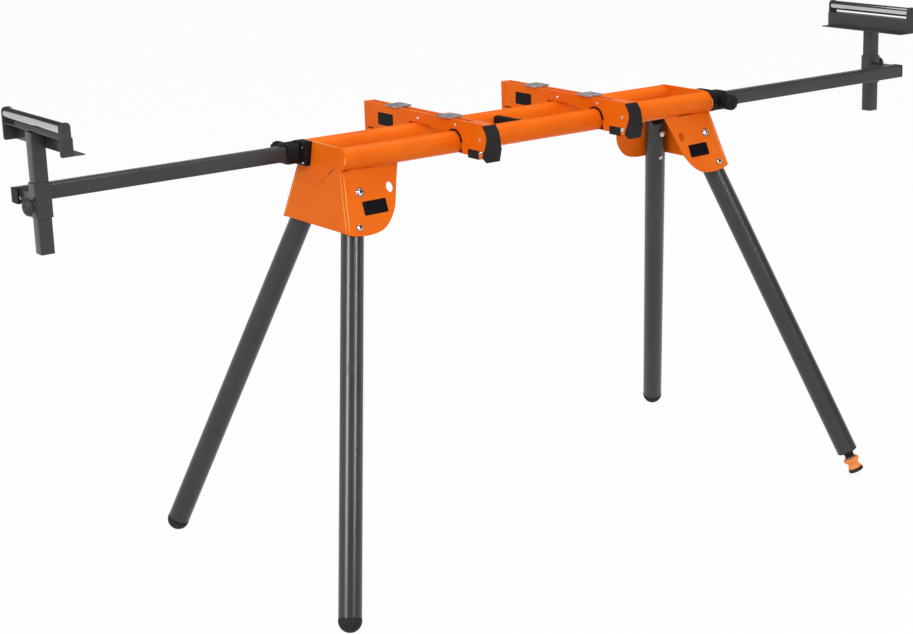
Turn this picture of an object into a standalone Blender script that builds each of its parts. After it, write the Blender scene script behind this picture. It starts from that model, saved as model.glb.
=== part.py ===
"""Miter saw stand: a beam of two round tubes on four folding legs, two saw
brackets clamped across the beam and two work supports on pull-out arms.

Metres, +Z up. +X runs along the beam, the clamp levers face -Y, and the origin
is on the floor below the middle of the beam. The stand stands open, with its
arms pulled out, as it is used.
"""

import math

import bmesh
import bpy
from mathutils import Matrix, Vector

# Clearances between pieces
fit_gap = 0.0003
run_gap = 0.0005
overrun = 0.005
weld_reach = 0.00002

# Round tube of the beam and the legs
tube_od = 0.0424
tube_wall = 0.0018
tube_sides = 28
small_sides = 14

# Beam
beam_height = 0.785
beam_gauge = 0.128

# Hub brackets, folded from one sheet each
hub_half = 0.4503
hub_sheet = 0.0025
hub_slope_share = 0.148
hub_drop = 0.128
hub_rim = 0.001
flange_top_length = 0.1273
flange_height = 0.1144

# Legs
leg_pivot_inset = 0.0289
leg_pivot_y = 0.0649
leg_pivot_drop = 0.0677
leg_splay_x_share = 0.2993
leg_splay_y_share = 0.3713
leg_top = 0.022
left_fold_turn = math.radians(3.1)
right_fold_turn = math.radians(-4.5)
plug_lip = 0.0004
plug_collar = 0.004
plug_shank = 0.018

# Leg pivot bolts and detent buttons
bolt_shank = 0.008
bolt_head_width = 0.017
bolt_head_height = 0.0048
bolt_washer = 0.0012
bolt_dome_share = 0.8
bolt_nut_width = 0.013
bolt_nut_height = 0.0065
button_width = 0.012
button_reach = 0.0665
button_rise = 0.004
stow_hole_width = 0.016
stow_hole_height = 0.020
stow_hole_reach = 0.068

# Levelling foot
insert_flange = 0.002
insert_stem_width = 0.020
insert_shank = 0.020
foot_stem_length = 0.0150
foot_wheel_gap = 0.0026
foot_wheel_width = 0.033
foot_wheel_height = 0.0235
foot_screw_width = 0.010
foot_screw_rise = 0.030
foot_pad_width = 0.031
foot_pad_height = 0.0072
foot_pad_flat = 0.0004

# Extension arms
arm_size = 0.027
arm_wall = 0.002
arm_corner = 0.0025
arm_reach = 0.5697
arm_length = 0.930
arm_plug_head = 0.003
arm_plug_shank = 0.014

# Collars and arm knobs
collar_depth = 0.015
collar_inner = 0.031
collar_body_size = 0.038
collar_body_reach = 0.0377
collar_body_corner = 0.006
boss_width = 0.022
boss_end = 0.0235
arm_knob_reach = 0.0207
arm_knob_span = 0.0322
arm_knob_width = 0.0315
knob_grip_length = 0.020
knob_neck_width = 0.019
knob_screw_width = 0.008
knob_ribs = 14
knob_rib_depth = 0.0012

# Work supports
support_inset = 0.020
post_size = 0.025
post_wall = 0.0018
post_corner = 0.002
post_drop = 0.093
sleeve_wall = 0.0022
sleeve_height = 0.060
sleeve_corner = 0.003
post_knob_offset = 0.0095
post_boss_length = 0.005
post_boss_width = 0.026
post_boss_tip = 0.018
post_knob_width = 0.035
post_knob_length = 0.0128
post_screw_width = 0.007
post_screw_bore = 0.0076

# Roller heads
head_length = 0.236
head_sheet = 0.002
head_lip = 0.020
head_drop = 0.046
ledge_drop = 0.015
ledge_reach = 0.0200
cap_thickness = 0.0045
cap_depth = 0.0205
cap_corner = 0.0075
cap_foot_corner = 0.003
cap_rise = 0.011
roller_width = 0.020
roller_rise = 0.134
axle_width = 0.006

# Saw brackets
left_bracket_share = -0.3953
right_bracket_share = 0.3653
bracket_width = 0.024
bracket_sheet = 0.002
bracket_rise = 0.043
bracket_rear = 0.2465
bracket_rear_drop = 0.016
bracket_front_drop = 0.0195
arch_gap = 0.0035
notch_rear = 0.089
notch_front = 0.005
notch_gap = 0.0006
web_drop = 0.027
slot_width = 0.008
slot_rear_bridge = 0.012
slot_front = 0.108
window_front = 0.2136
window_rear = 0.2375
window_height = 0.003
window_drop = 0.009

# Clamp levers, pins and jaws
lever_pivot_y = -0.1485
lever_pivot_drop = 0.011
lever_ear = 0.011
lever_width = 0.031
lever_eye = 0.006
lever_gap = 0.0007
pin_width = 0.005
pin_head_width = 0.009
pin_head_height = 0.0016
jaw_rear = -0.1085
jaw_front = -0.1418
jaw_bottom_drop = 0.024
jaw_top_drop = 0.008
jaw_side = 0.0006
jaw_tongue_thickness = 0.0038

# Saw mounting pads
pad_length = 0.044
pad_width = 0.036
pad_thickness = 0.003
pad_corner = 0.004
pad_stem_length = 0.020
pad_foot_width = 0.014
pad_foot_height = 0.003
rear_pad_y = 0.140
front_pad_y = -0.034

# Carry handle
handle_x = -0.006
handle_width = 0.024
handle_drop = 0.019
handle_rise = 0.014
handle_corner = 0.008

# Sizes that follow
tube_r = tube_od / 2
bore_r = tube_r - tube_wall
tube_y = beam_gauge / 2
hub_level = beam_height - tube_r
pivot_height = beam_height - leg_pivot_drop
leg_offset = tube_r + run_gap
leg_pivot_x = hub_half - leg_pivot_inset
arm_r = arm_size / 2
arm_tip = hub_half + arm_reach
arm_knob_x = hub_half + arm_knob_reach
collar_body_end = hub_half + collar_body_reach
support_x = arm_tip - support_inset
post_r = post_size / 2
post_bottom = beam_height - post_drop
sleeve_r = post_r + fit_gap + sleeve_wall
roller_height = beam_height + roller_rise
head_plate_x = support_x - post_r - fit_gap - head_sheet
head_bottom = roller_height - head_drop
ledge_top = roller_height - ledge_drop
cap_top = roller_height + cap_rise
bracket_r = bracket_width / 2
bracket_top = beam_height + bracket_rise
bracket_rear_bottom = beam_height - bracket_rear_drop
bracket_front_bottom = beam_height - bracket_front_drop
window_level = beam_height - window_drop
lever_pivot_z = beam_height - lever_pivot_drop
jaw_bottom = beam_height - jaw_bottom_drop
jaw_top = beam_height - jaw_top_drop
handle_bottom = beam_height - handle_drop
handle_top = beam_height + handle_rise

# Outlines as shares. Hub flange: share of its length from the fold, share of its height from the top
flange_corner_shares = ((0.9176, 0.2404), (0.8509, 0.4589), (0.7912, 0.6372), (0.7057, 0.7780),
                        (0.5926, 0.8986), (0.4639, 0.9694), (0.2567, 1.0000), (0.0338, 0.9816),
                        (-0.0730, 0.9537))
# Front edge of a saw bracket, from its top: share of lever_throat ahead of the pin, share of the rise above it
front_edge_shares = ((0.3600, 1.0000), (0.4430, 0.9741), (0.8904, 0.7222), (1.0000, 0.4815),
                     (0.7632, 0.1944))
# Outer face of a clamp lever in the same shares, and the two corners of its bottom
lever_face_shares = ((0.5044, 0.9741), (0.9430, 0.7593), (1.1316, 0.5185), (1.1842, 0.2778),
                     (1.2939, 0.1852), (0.9868, -0.2852))
# Levelling wheel: share of its radius, share of its height from the top
wheel_shares = ((0.84, 0.0), (1.0, 0.12), (1.0, 0.30), (0.68, 0.50), (0.68, 0.72), (0.86, 0.94), (0.86, 1.0))
lever_throat = 0.0228
lever_rise = bracket_top - lever_pivot_z


def remove_everything():
    """Empty the scene and give it one collection for pieces and one for cutters."""
    for old in list(bpy.data.objects):
        bpy.data.objects.remove(old, do_unlink=True)
    made = []
    for name in ("miter_saw_stand", "cutters"):
        collection = bpy.data.collections.new(name)
        bpy.context.scene.collection.children.link(collection)
        made.append(collection)
    return made


pieces, cutters = remove_everything()
frames = {}


def material(name, colour, roughness, metallic):
    """Principled surface with a colour, a roughness and a metallic value."""
    made = bpy.data.materials.new(name)
    made.use_nodes = True
    shader = made.node_tree.nodes["Principled BSDF"]
    shader.inputs["Base Color"].default_value = (*colour, 1)
    shader.inputs["Roughness"].default_value = roughness
    shader.inputs["Metallic"].default_value = metallic
    made.diffuse_color = (*colour, 1)
    return made


orange_paint = material("orange_paint", (0.83, 0.14, 0.012), 0.35, 0.0)
charcoal_paint = material("charcoal_paint", (0.062, 0.062, 0.066), 0.4, 0.0)
black_plastic = material("black_plastic", (0.017, 0.017, 0.02), 0.5, 0.0)
orange_plastic = material("orange_plastic", (0.8, 0.15, 0.02), 0.45, 0.0)
black_rubber = material("black_rubber", (0.02, 0.02, 0.02), 0.8, 0.0)
bright_steel = material("bright_steel", (0.6, 0.61, 0.62), 0.3, 1.0)


def make(name, bm, place):
    """Object from a bmesh drawn in the frame called place."""
    bmesh.ops.recalc_face_normals(bm, faces=bm.faces)
    mesh = bpy.data.meshes.new(name)
    bm.to_mesh(mesh)
    bm.free()
    made = bpy.data.objects.new(name, mesh)
    made.matrix_basis = place
    cutters.objects.link(made)
    made.hide_render = True
    made.display_type = "WIRE"
    frames[name] = place
    return made


def block(name, low, high, place=Matrix()):
    """Box between two corners."""
    low, high = Vector(low), Vector(high)
    size = high - low
    middle = (low + high) / 2
    bm = bmesh.new()
    bmesh.ops.create_cube(bm, size=1, matrix=Matrix.Translation(middle) @ Matrix.Diagonal((*size, 1)))
    return make(name, bm, place)


def rod(name, start, end, radius, place=Matrix(), sides=tube_sides, end_radius=None):
    """Round bar, or a cone with end_radius, between two points."""
    start, end = Vector(start), Vector(end)
    turn = (end - start).to_track_quat("Z", "Y").to_matrix().to_4x4()
    bm = bmesh.new()
    bmesh.ops.create_cone(bm, cap_ends=True, segments=sides, radius1=radius,
                          radius2=radius if end_radius is None else end_radius,
                          depth=(end - start).length,
                          matrix=Matrix.Translation((start + end) / 2) @ turn)
    return make(name, bm, place)


def plate(name, outlines, thickness, place):
    """Flat outline in the frame's XY plane, centred on it. Further outlines are holes."""
    curve = bpy.data.curves.new(name + "_outline", "CURVE")
    curve.dimensions = "2D"
    curve.fill_mode = "BOTH"
    curve.extrude = thickness / 2
    for outline in outlines:
        spline = curve.splines.new("POLY")
        spline.points.add(len(outline[1:]))
        for point, (x, y) in zip(spline.points, outline):
            point.co = (x, y, 0, 1)
        spline.use_cyclic_u = True
    guide = bpy.data.objects.new(name + "_outline", curve)
    cutters.objects.link(guide)
    bpy.context.view_layer.update()
    mesh = bpy.data.meshes.new_from_object(guide.evaluated_get(bpy.context.evaluated_depsgraph_get()))
    bm = bmesh.new()
    bm.from_mesh(mesh)
    bmesh.ops.remove_doubles(bm, verts=bm.verts, dist=weld_reach)
    bpy.data.objects.remove(guide, do_unlink=True)
    return make(name, bm, place)


def lathe(name, profile, place, sides=tube_sides):
    """Turned shape about the frame's Z axis from a profile of (radius, height), top to bottom."""
    mesh = bpy.data.meshes.new(name)
    points = [(radius, 0, height) for radius, height in profile]
    mesh.from_pydata(points, [(i, i + 1) for i in range(len(points) - 1)], [])
    made = bpy.data.objects.new(name, mesh)
    made.matrix_basis = place
    cutters.objects.link(made)
    made.hide_render = True
    made.display_type = "WIRE"
    frames[name] = place
    screw = made.modifiers.new("turn", "SCREW")
    screw.steps = sides
    screw.render_steps = sides
    screw.use_merge_vertices = True
    screw.merge_threshold = weld_reach
    return made


def bevel(piece, width, segments=2):
    """Round the sharp edges of a piece."""
    rounding = piece.modifiers.new("rounding", "BEVEL")
    rounding.width = width
    rounding.segments = segments
    rounding.limit_method = "ANGLE"
    return piece


def cut(piece, *others):
    """Take other shapes away from a piece."""
    for other in others:
        boolean = piece.modifiers.new("cut", "BOOLEAN")
        boolean.operation = "DIFFERENCE"
        boolean.solver = "EXACT"
        boolean.object = other
    return piece


def join(piece, *others):
    """Weld other shapes to a piece."""
    for other in others:
        boolean = piece.modifiers.new("join", "BOOLEAN")
        boolean.operation = "UNION"
        boolean.solver = "EXACT"
        boolean.object = other
    return piece


def keep(piece, finish, carrier=None):
    """Show a piece with its finish, carried by the empty of its body."""
    cutters.objects.unlink(piece)
    pieces.objects.link(piece)
    piece.hide_render = False
    piece.display_type = "TEXTURED"
    piece.data.materials.append(finish)
    piece.data.shade_smooth()
    piece.data.set_sharp_from_angle(angle=math.radians(35))
    if carrier is not None:
        piece.parent = carrier
        piece.matrix_basis = frames[carrier.name].inverted() @ frames[piece.name]
    return piece


def joint(name, place, carrier=None):
    """Empty on a joint's axis, which carries the pieces of one moving body."""
    made = bpy.data.objects.new(name, None)
    pieces.objects.link(made)
    frames[name] = place
    made.matrix_basis = place
    if carrier is not None:
        made.parent = carrier
        made.matrix_basis = frames[carrier.name].inverted() @ place
    return made


def facing(origin, normal, along):
    """Frame whose Z is the normal and whose X is the direction along, laid into the plane."""
    z = Vector(normal).normalized()
    x = Vector(along)
    x = (x - x.dot(z) * z).normalized()
    y = z.cross(x)
    return Matrix.Translation(origin) @ Matrix((x, y, z)).transposed().to_4x4()


def flat(frame, points):
    """Places of world points in a frame's XY plane."""
    back = frame.inverted()
    return [tuple((back @ Vector(point)).xy) for point in points]


def arc(centre, radius, first, last, steps):
    """Points on a circle between two angles in degrees."""
    turns = [math.radians(first + (last - first) * i / steps) for i in range(steps + 1)]
    return [(centre[0] + radius * math.cos(turn), centre[1] + radius * math.sin(turn)) for turn in turns]


def ring(centre, radius, sides=small_sides, height=None):
    """Closed circle, or an ellipse with height."""
    rise = radius if height is None else height
    turns = [2 * math.pi * i / sides for i in range(sides)]
    return [(centre[0] + radius * math.cos(turn), centre[1] + rise * math.sin(turn)) for turn in turns]


def rounded(width, height, radius, steps=3, centre=(0, 0)):
    """Rectangle with round corners."""
    x, y = width / 2 - radius, height / 2 - radius
    outline = []
    for quarter, (sx, sy) in enumerate(((1, 1), (-1, 1), (-1, -1), (1, -1))):
        corner = (centre[0] + sx * x, centre[1] + sy * y)
        outline += arc(corner, radius, 90 * quarter, 90 * quarter + 90, steps)
    return outline


def smooth(points, steps=3):
    """Points of a smooth curve through the given ones, which keeps its two ends."""
    padded = [points[0], *points, points[-1]]
    made = []
    for a, b, c, d in zip(padded, padded[1:], padded[2:], padded[3:]):
        for i in range(steps):
            t = i / steps
            made.append(tuple(
                0.5 * (2 * q + (r - p) * t + (2 * p - 5 * q + 4 * r - s) * t ** 2
                       + (3 * q - p - 3 * r + s) * t ** 3)
                for p, q, r, s in zip(a, b, c, d)))
    return made + [points[-1]]


def hub_x(height, inset=0.0):
    """Distance from the middle to the end plate's outer face, or to a plane inset from it."""
    return hub_half - hub_slope_share * (height - hub_level) - inset * math.hypot(1, hub_slope_share)


def leg_frames(side, end):
    """Open leg frame at its pivot, hinge axis, outward flange normal and the folded direction."""
    open_way = Vector((side * leg_splay_x_share, end * leg_splay_y_share, -1)).normalized()
    turn = left_fold_turn if side < 0 else right_fold_turn
    folded_way = Vector((-side * math.cos(turn), -end * math.sin(turn), 0))
    axis = open_way.cross(folded_way).normalized()
    outward = axis if axis.y * end > 0 else -axis
    pivot = Vector((side * leg_pivot_x, end * leg_pivot_y, pivot_height))
    return pivot, open_way, folded_way, axis, outward


def leg_name(side, end):
    return ("left" if side < 0 else "right") + ("_front" if end < 0 else "_rear")


def side_name(side):
    return "left" if side < 0 else "right"


def arm_y(side):
    """The left arm runs in the rear tube and the right arm in the front tube."""
    return -side * tube_y


def end_frame(side, depth):
    """Frame on the end plate, depth inside its outer face, X towards the tube without an arm."""
    normal = Vector((side, 0, hub_slope_share)).normalized()
    origin = Vector((side * hub_x(beam_height), 0, beam_height)) - depth * normal
    return facing(origin, normal, (0, side, 0))


def beam_tubes():
    """Two round tubes whose ends follow the sloping end plates."""
    for end, name in ((-1, "front_beam_tube"), (1, "rear_beam_tube")):
        y = end * tube_y
        reach = hub_half + overrun
        tube = rod(name, (-reach, y, beam_height), (reach, y, beam_height), tube_r)
        cut(tube, rod(name + "_bore", (-reach - overrun, y, beam_height),
                      (reach + overrun, y, beam_height), bore_r))
        for side in (-1, 1):
            frame = end_frame(side, hub_sheet + fit_gap)
            cut(tube, block(name + "_end_" + side_name(side), (-tube_od * 2 - tube_y, -tube_od, 0),
                            (tube_od * 2 + tube_y, tube_od, overrun * 4), frame))
        keep(tube, orange_paint)


def flange_y(side, end, x, height):
    """Where a flange's outer face lies at a place along the beam and a height."""
    pivot, _, _, _, outward = leg_frames(side, end)
    face = pivot + (leg_offset + hub_sheet) * outward
    return face.y - (outward.x * (x - face.x) + outward.z * (height - face.z)) / outward.y


def hub_bracket(side):
    """End plate and two flanges folded from one sheet, holed for the arm and the leg fittings."""
    name = side_name(side) + "_hub_bracket"
    bottom = hub_level - hub_drop + tube_r
    frame = end_frame(side, hub_sheet / 2)
    rim = tube_r + hub_rim
    edge = []
    for end in (-1, 1):
        x = side * hub_x(bottom)
        foot = (flange_y(side, end, x, bottom), bottom)
        fold = (flange_y(side, end, side * hub_x(hub_level), hub_level), hub_level)
        first = math.degrees(math.atan2(fold[1] - beam_height, end * fold[0] - tube_y))
        shoulder = [(end * y, z) for y, z in arc((tube_y, beam_height), rim, first, 90, 7)]
        run = [foot] + shoulder
        edge += run if end > 0 else run[::-1]
    points = flat(frame, [(side * hub_x(z), y, z) for y, z in edge])
    opening = arm_size + 4 * run_gap
    window = rounded(opening, opening, arm_corner, centre=(-tube_y, 0))
    hub = plate(name, [points, window], hub_sheet, frame)
    for end in (-1, 1):
        pivot, open_way, folded_way, _, outward = leg_frames(side, end)
        middle = pivot + (leg_offset + hub_sheet / 2) * outward
        own = facing(middle, outward, folded_way)
        top = hub_level + hub_sheet
        run = [(flange_top_length * share, top_share * flange_height) for share, top_share in
               smooth(flange_corner_shares)]
        inner = [(flange_top_length, 0)] + run
        world = []
        for length, drop in inner:
            x, z = side * (hub_half - length), hub_level - drop
            world.append((x, flange_y(side, end, x, z), z))
        x = side * (hub_half - flange_top_length)
        world.insert(0, (x, flange_y(side, end, x, top), top))
        for z in (bottom, top):
            x = side * hub_x(z)
            world.append((x, flange_y(side, end, x, z), z))
        button = middle + button_reach * open_way
        stow = middle + stow_hole_reach * folded_way
        holes = [ring((0, 0), bolt_shank / 2 + fit_gap),
                 ring(flat(own, [button])[0], button_width / 2 + fit_gap),
                 ring(flat(own, [stow])[0], stow_hole_width / 2, height=stow_hole_height / 2)]
        flange = plate(name + "_flange_" + leg_name(side, end), [flat(own, world)] + holes, hub_sheet, own)
        y = end * tube_y
        reach = side * hub_x(hub_level, hub_sheet + fit_gap)
        cut(flange, rod(flange.name + "_saddle", (side * hub_half / 2, y, beam_height),
                        (reach, y, beam_height), tube_r + fit_gap))
        join(hub, flange)
    keep(hub, orange_paint)


def pivot_bolt(side, end):
    """Domed bolt through the flange and the leg, with a washer and a nut inside the leg."""
    pivot, _, folded_way, _, outward = leg_frames(side, end)
    frame = facing(pivot, outward, folded_way)
    face = leg_offset + hub_sheet + fit_gap
    head, shank, nut = bolt_head_width / 2, bolt_shank / 2, bolt_nut_width / 2
    inner = -leg_offset - fit_gap
    seat = face + bolt_washer
    nut_end = inner - bolt_nut_height
    tip = nut_end - bolt_washer
    turns = [math.radians(turn) for turn in (0, 30, 60, 90)]
    dome = [(head * math.sin(turn) * bolt_dome_share, seat + (bolt_head_height - bolt_washer) * math.cos(turn))
            for turn in turns]
    profile = dome + [(head, seat), (head, face), (shank, face), (shank, inner), (nut, inner),
                      (nut, nut_end), (shank, nut_end), (shank, tip), (0, tip)]
    keep(lathe(leg_name(side, end) + "_pivot_bolt", profile, frame, small_sides), bright_steel)


def detent_button(side, end):
    """Sprung button in the flange that drops into the hole of the opened leg."""
    pivot, open_way, folded_way, _, outward = leg_frames(side, end)
    frame = facing(pivot + button_reach * open_way, outward, folded_way)
    radius, top = button_width / 2, leg_offset + hub_sheet + button_rise
    turns = [math.radians(turn) for turn in (0, 30, 60, 90)]
    crown = [(radius * math.sin(turn), top - radius / 4 * (1 - math.cos(turn))) for turn in turns]
    root = leg_offset - run_gap + fit_gap
    carrier = joint(leg_name(side, end) + "_button_slide", frame)
    profile = crown + [(radius, root), (0, root)]
    keep(lathe(leg_name(side, end) + "_detent_button", profile, frame, small_sides), bright_steel, carrier)


def leg(side, end):
    """Round leg about its pivot, with its plug or its levelling foot."""
    name = leg_name(side, end)
    pivot, open_way, _, _, outward = leg_frames(side, end)
    frame = facing(pivot, -open_way, outward)
    hinge = joint(name + "_leg_hinge", frame)
    dome = (pivot_height - tube_r) / -open_way.z
    screw_r, pad_r, wheel_r = foot_screw_width / 2, foot_pad_width / 2, foot_wheel_width / 2
    lean = math.sqrt(1 - open_way.z ** 2)
    pad_bottom = -(pivot_height - pad_r * lean + foot_pad_flat) / -open_way.z
    pad_top = pad_bottom + foot_pad_height
    wheel_bottom = pad_top + fit_gap
    wheel_top = wheel_bottom + foot_wheel_height
    stem_end = wheel_top + foot_wheel_gap
    levelled = side > 0 and end < 0
    length = -stem_end - foot_stem_length if levelled else dome - plug_collar
    tube = rod(name + "_leg", (0, 0, -length), (0, 0, leg_top), tube_r, frame)
    cut(tube, rod(name + "_leg_bore", (0, 0, -length - overrun), (0, 0, leg_top + overrun), bore_r, frame))
    cut(tube, rod(name + "_leg_pivot_hole", (-tube_od, 0, 0), (tube_od, 0, 0), bolt_shank / 2 + run_gap,
                  frame, small_sides))
    cut(tube, rod(name + "_leg_button_hole", (0, 0, -button_reach), (tube_od, 0, -button_reach),
                  button_width / 2 + run_gap, frame, small_sides))
    keep(tube, charcoal_paint, hinge)
    shank = bore_r - fit_gap
    if not levelled:
        radius = tube_r + plug_lip
        centre = -dome
        round_end = [(radius * math.cos(math.radians(turn)), centre - radius * math.sin(math.radians(turn)))
                     for turn in range(0, 91, 18)]
        profile = [(0, -length + plug_shank), (shank, -length + plug_shank), (shank, -length - fit_gap),
                   (radius, -length - fit_gap), *round_end[:-1], (0, centre - radius)]
        plug = lathe(name + "_foot_plug", profile, frame)
        foot = pivot + dome * open_way
        cut(plug, block(name + "_floor", (foot.x - tube_od, foot.y - tube_od, -tube_od),
                        (foot.x + tube_od, foot.y + tube_od, 0)))
        keep(plug, black_rubber, hinge)
        return
    bore = screw_r + fit_gap
    profile = [(bore, -length + insert_shank), (shank, -length + insert_shank), (shank, -length - fit_gap),
               (tube_r, -length - fit_gap), (tube_r, -length - fit_gap - insert_flange),
               (insert_stem_width / 2, -length - fit_gap - insert_flange), (insert_stem_width / 2, stem_end),
               (bore, stem_end), (bore, -length + insert_shank)]
    keep(lathe(name + "_foot_insert", profile, frame), black_plastic, hinge)
    slide = joint(name + "_foot_slide", frame @ Matrix.Translation((0, 0, pad_bottom)), hinge)
    profile = [(0, wheel_top + foot_screw_rise), (screw_r, wheel_top + foot_screw_rise),
               (screw_r, pad_top + fit_gap), (0, pad_top + fit_gap)]
    keep(lathe(name + "_foot_screw", profile, frame, small_sides), bright_steel, slide)
    turn = joint(name + "_wheel_turn", frame @ Matrix.Translation((0, 0, wheel_bottom)), slide)
    rim = [(wheel_r * radius, wheel_top - foot_wheel_height * drop) for radius, drop in wheel_shares]
    profile = [(bore, wheel_top), *rim, (bore, wheel_bottom), (bore, wheel_top)]
    keep(lathe(name + "_foot_wheel", profile, frame), orange_plastic, turn)
    edge = foot_pad_height / 4
    profile = [(0, pad_top), (pad_r - edge, pad_top), (pad_r, pad_top - edge), (pad_r, pad_bottom + edge / 2),
               (pad_r - edge / 2, pad_bottom), (0, pad_bottom)]
    pad = lathe(name + "_foot_pad", profile, frame)
    foot = pivot - pad_bottom * open_way
    cut(pad, block(name + "_floor", (foot.x - tube_od, foot.y - tube_od, -tube_od),
                   (foot.x + tube_od, foot.y + tube_od, 0)))
    keep(pad, black_rubber, slide)


def knob_outline(radius):
    """Ribbed rim of a clamp knob."""
    count = knob_ribs * 4
    reaches = [radius - knob_rib_depth * (i % 4 > 1) for i in range(count)]
    turns = [2 * math.pi * i / count for i in range(count)]
    return [(reach * math.cos(turn), reach * math.sin(turn)) for reach, turn in zip(reaches, turns)]


def knob(name, frame, width, neck, grip, screw_width, screw_length, neck_width):
    """Ribbed grip on a neck along +Z, with its clamp screw running to -Z."""
    middle = frame @ Matrix.Translation((0, 0, neck + grip / 2))
    made = plate(name, [knob_outline(width / 2)], grip, middle)
    bevel(made, knob_rib_depth, 1).modifiers[-1].angle_limit = math.radians(80)
    lap = grip / 2
    stem = lathe(name + "_stem", [(0, neck + lap), (neck_width / 2, neck + lap), (neck_width / 2, 0),
                                  (screw_width / 2, 0), (screw_width / 2, -screw_length), (0, -screw_length)],
                 frame, small_sides)
    return join(made, stem)


def collar(side):
    """Plastic guide on the end plate, round the arm, with a boss for its knob."""
    name = side_name(side) + "_collar"
    y, way = arm_y(side), -side
    inner, rim = collar_inner - tube_y, tube_r + hub_rim
    start, stop = hub_half - overrun * 3, hub_x(beam_height) + collar_depth
    frame = facing((side * (start + stop) / 2, y, beam_height), (side, 0, 0), (0, way, 0))
    outline = [*arc((0, 0), rim, -90, 90, 12), (inner, rim), (inner, -rim)]
    base = plate(name, [outline], stop - start, frame)
    middle = (side * (start + collar_body_end) / 2, y, beam_height)
    body = plate(name + "_body", [rounded(collar_body_size, collar_body_size, collar_body_corner)],
                 collar_body_end - start, facing(middle, (side, 0, 0), (0, way, 0)))
    knob_x = side * arm_knob_x
    root = (knob_x, y, beam_height)
    boss = rod(name + "_boss", root, (knob_x, y + way * boss_end, beam_height), boss_width / 2)
    join(base, body, boss)
    bore = arm_size + 2 * fit_gap
    depth = 4 * collar_depth + collar_body_end - start
    cut(base, plate(name + "_bore", [rounded(bore, bore, arm_corner)], depth, frame))
    cut(base, rod(name + "_screw_hole", root, (knob_x, y + way * (boss_end + overrun), beam_height),
                  knob_screw_width / 2 + fit_gap, sides=small_sides))
    wedge = end_frame(side, -fit_gap)
    cut(base, block(name + "_seat", (-2 * tube_y, -tube_od, -4 * overrun), (2 * tube_y, tube_od, 0), wedge))
    keep(base, black_plastic)
    turning = facing((knob_x, y + way * (boss_end + fit_gap), beam_height), (0, way, 0), (side, 0, 0))
    carrier = joint(side_name(side) + "_arm_knob_turn", turning)
    screw = boss_end - arm_r
    keep(knob(side_name(side) + "_arm_knob", turning, arm_knob_width, arm_knob_span - knob_grip_length,
              knob_grip_length, knob_screw_width, screw, knob_neck_width), black_plastic, carrier)


def square_tube(name, size, wall, corner, length, frame):
    """Square tube with rounded corners, open at both ends."""
    inner = size - 2 * wall
    return plate(name, [rounded(size, size, corner), rounded(inner, inner, corner / 2)], length, frame)


def support(side):
    """Pull-out arm with its end plug, sleeve and knob, and the post with its roller head."""
    name = side_name(side)
    y, out = arm_y(side), side
    tip = arm_tip - arm_plug_head - fit_gap
    slide = joint(name + "_arm_slide", Matrix.Translation((side * support_x, y, beam_height)))
    frame = facing((side * (tip - arm_length / 2), y, beam_height), (out, 0, 0), (0, 1, 0))
    arm = square_tube(name + "_arm", arm_size, arm_wall, arm_corner, arm_length, frame)
    reach = abs(y) - arm_r - sleeve_r - fit_gap + arm_wall / 2
    way = math.copysign(1, y)
    stub_y = way * (sleeve_r + fit_gap + reach / 2)
    stub = square_tube(name + "_arm_stub", arm_size - fit_gap, arm_wall, arm_corner, reach,
                       facing((side * support_x, stub_y, beam_height), (0, 1, 0), (1, 0, 0)))
    keep(join(arm, stub), charcoal_paint, slide)
    inner = arm_size - 2 * arm_wall - 2 * fit_gap
    head = facing((side * (arm_tip - arm_plug_head / 2), y, beam_height), (out, 0, 0), (0, 1, 0))
    plug = plate(name + "_arm_plug", [rounded(arm_size, arm_size, arm_corner)], arm_plug_head, head)
    lap = arm_plug_shank + arm_plug_head
    shank = facing((side * (arm_tip - lap / 2), y, beam_height), (out, 0, 0), (0, 1, 0))
    join(plug, plate(name + "_arm_plug_shank", [rounded(inner, inner, arm_corner / 2)],
                     lap - arm_plug_head / 2, shank))
    keep(plug, black_plastic, slide)

    upright = Matrix.Translation((side * support_x, 0, beam_height))
    knob_z = beam_height + side * post_knob_offset
    face = support_x + sleeve_r
    boss_end_x = face + post_boss_length
    sleeve = square_tube(name + "_post_sleeve", 2 * sleeve_r, sleeve_wall, sleeve_corner, sleeve_height,
                         upright)
    boss_root = (side * (face - sleeve_wall / 2), 0, knob_z)
    boss_tip = (side * boss_end_x, 0, knob_z)
    join(sleeve, rod(name + "_post_boss", boss_root, boss_tip, post_boss_width / 2,
                     end_radius=post_boss_tip / 2))
    cut(sleeve, rod(name + "_post_boss_hole", (side * support_x, 0, knob_z),
                    (side * (boss_end_x + overrun), 0, knob_z), post_screw_bore / 2, sides=small_sides))
    keep(sleeve, charcoal_paint, slide)
    turning = facing((side * (boss_end_x + fit_gap), 0, knob_z), (out, 0, 0), (0, 1, 0))
    carrier = joint(name + "_post_knob_turn", turning, slide)
    screw = post_boss_length + sleeve_wall + fit_gap
    neck = post_knob_length / 4
    keep(knob(name + "_post_knob", turning, post_knob_width, neck, post_knob_length - neck,
              post_screw_width, screw, post_boss_tip), black_plastic, carrier)
    head_on_post(side, slide)


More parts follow.
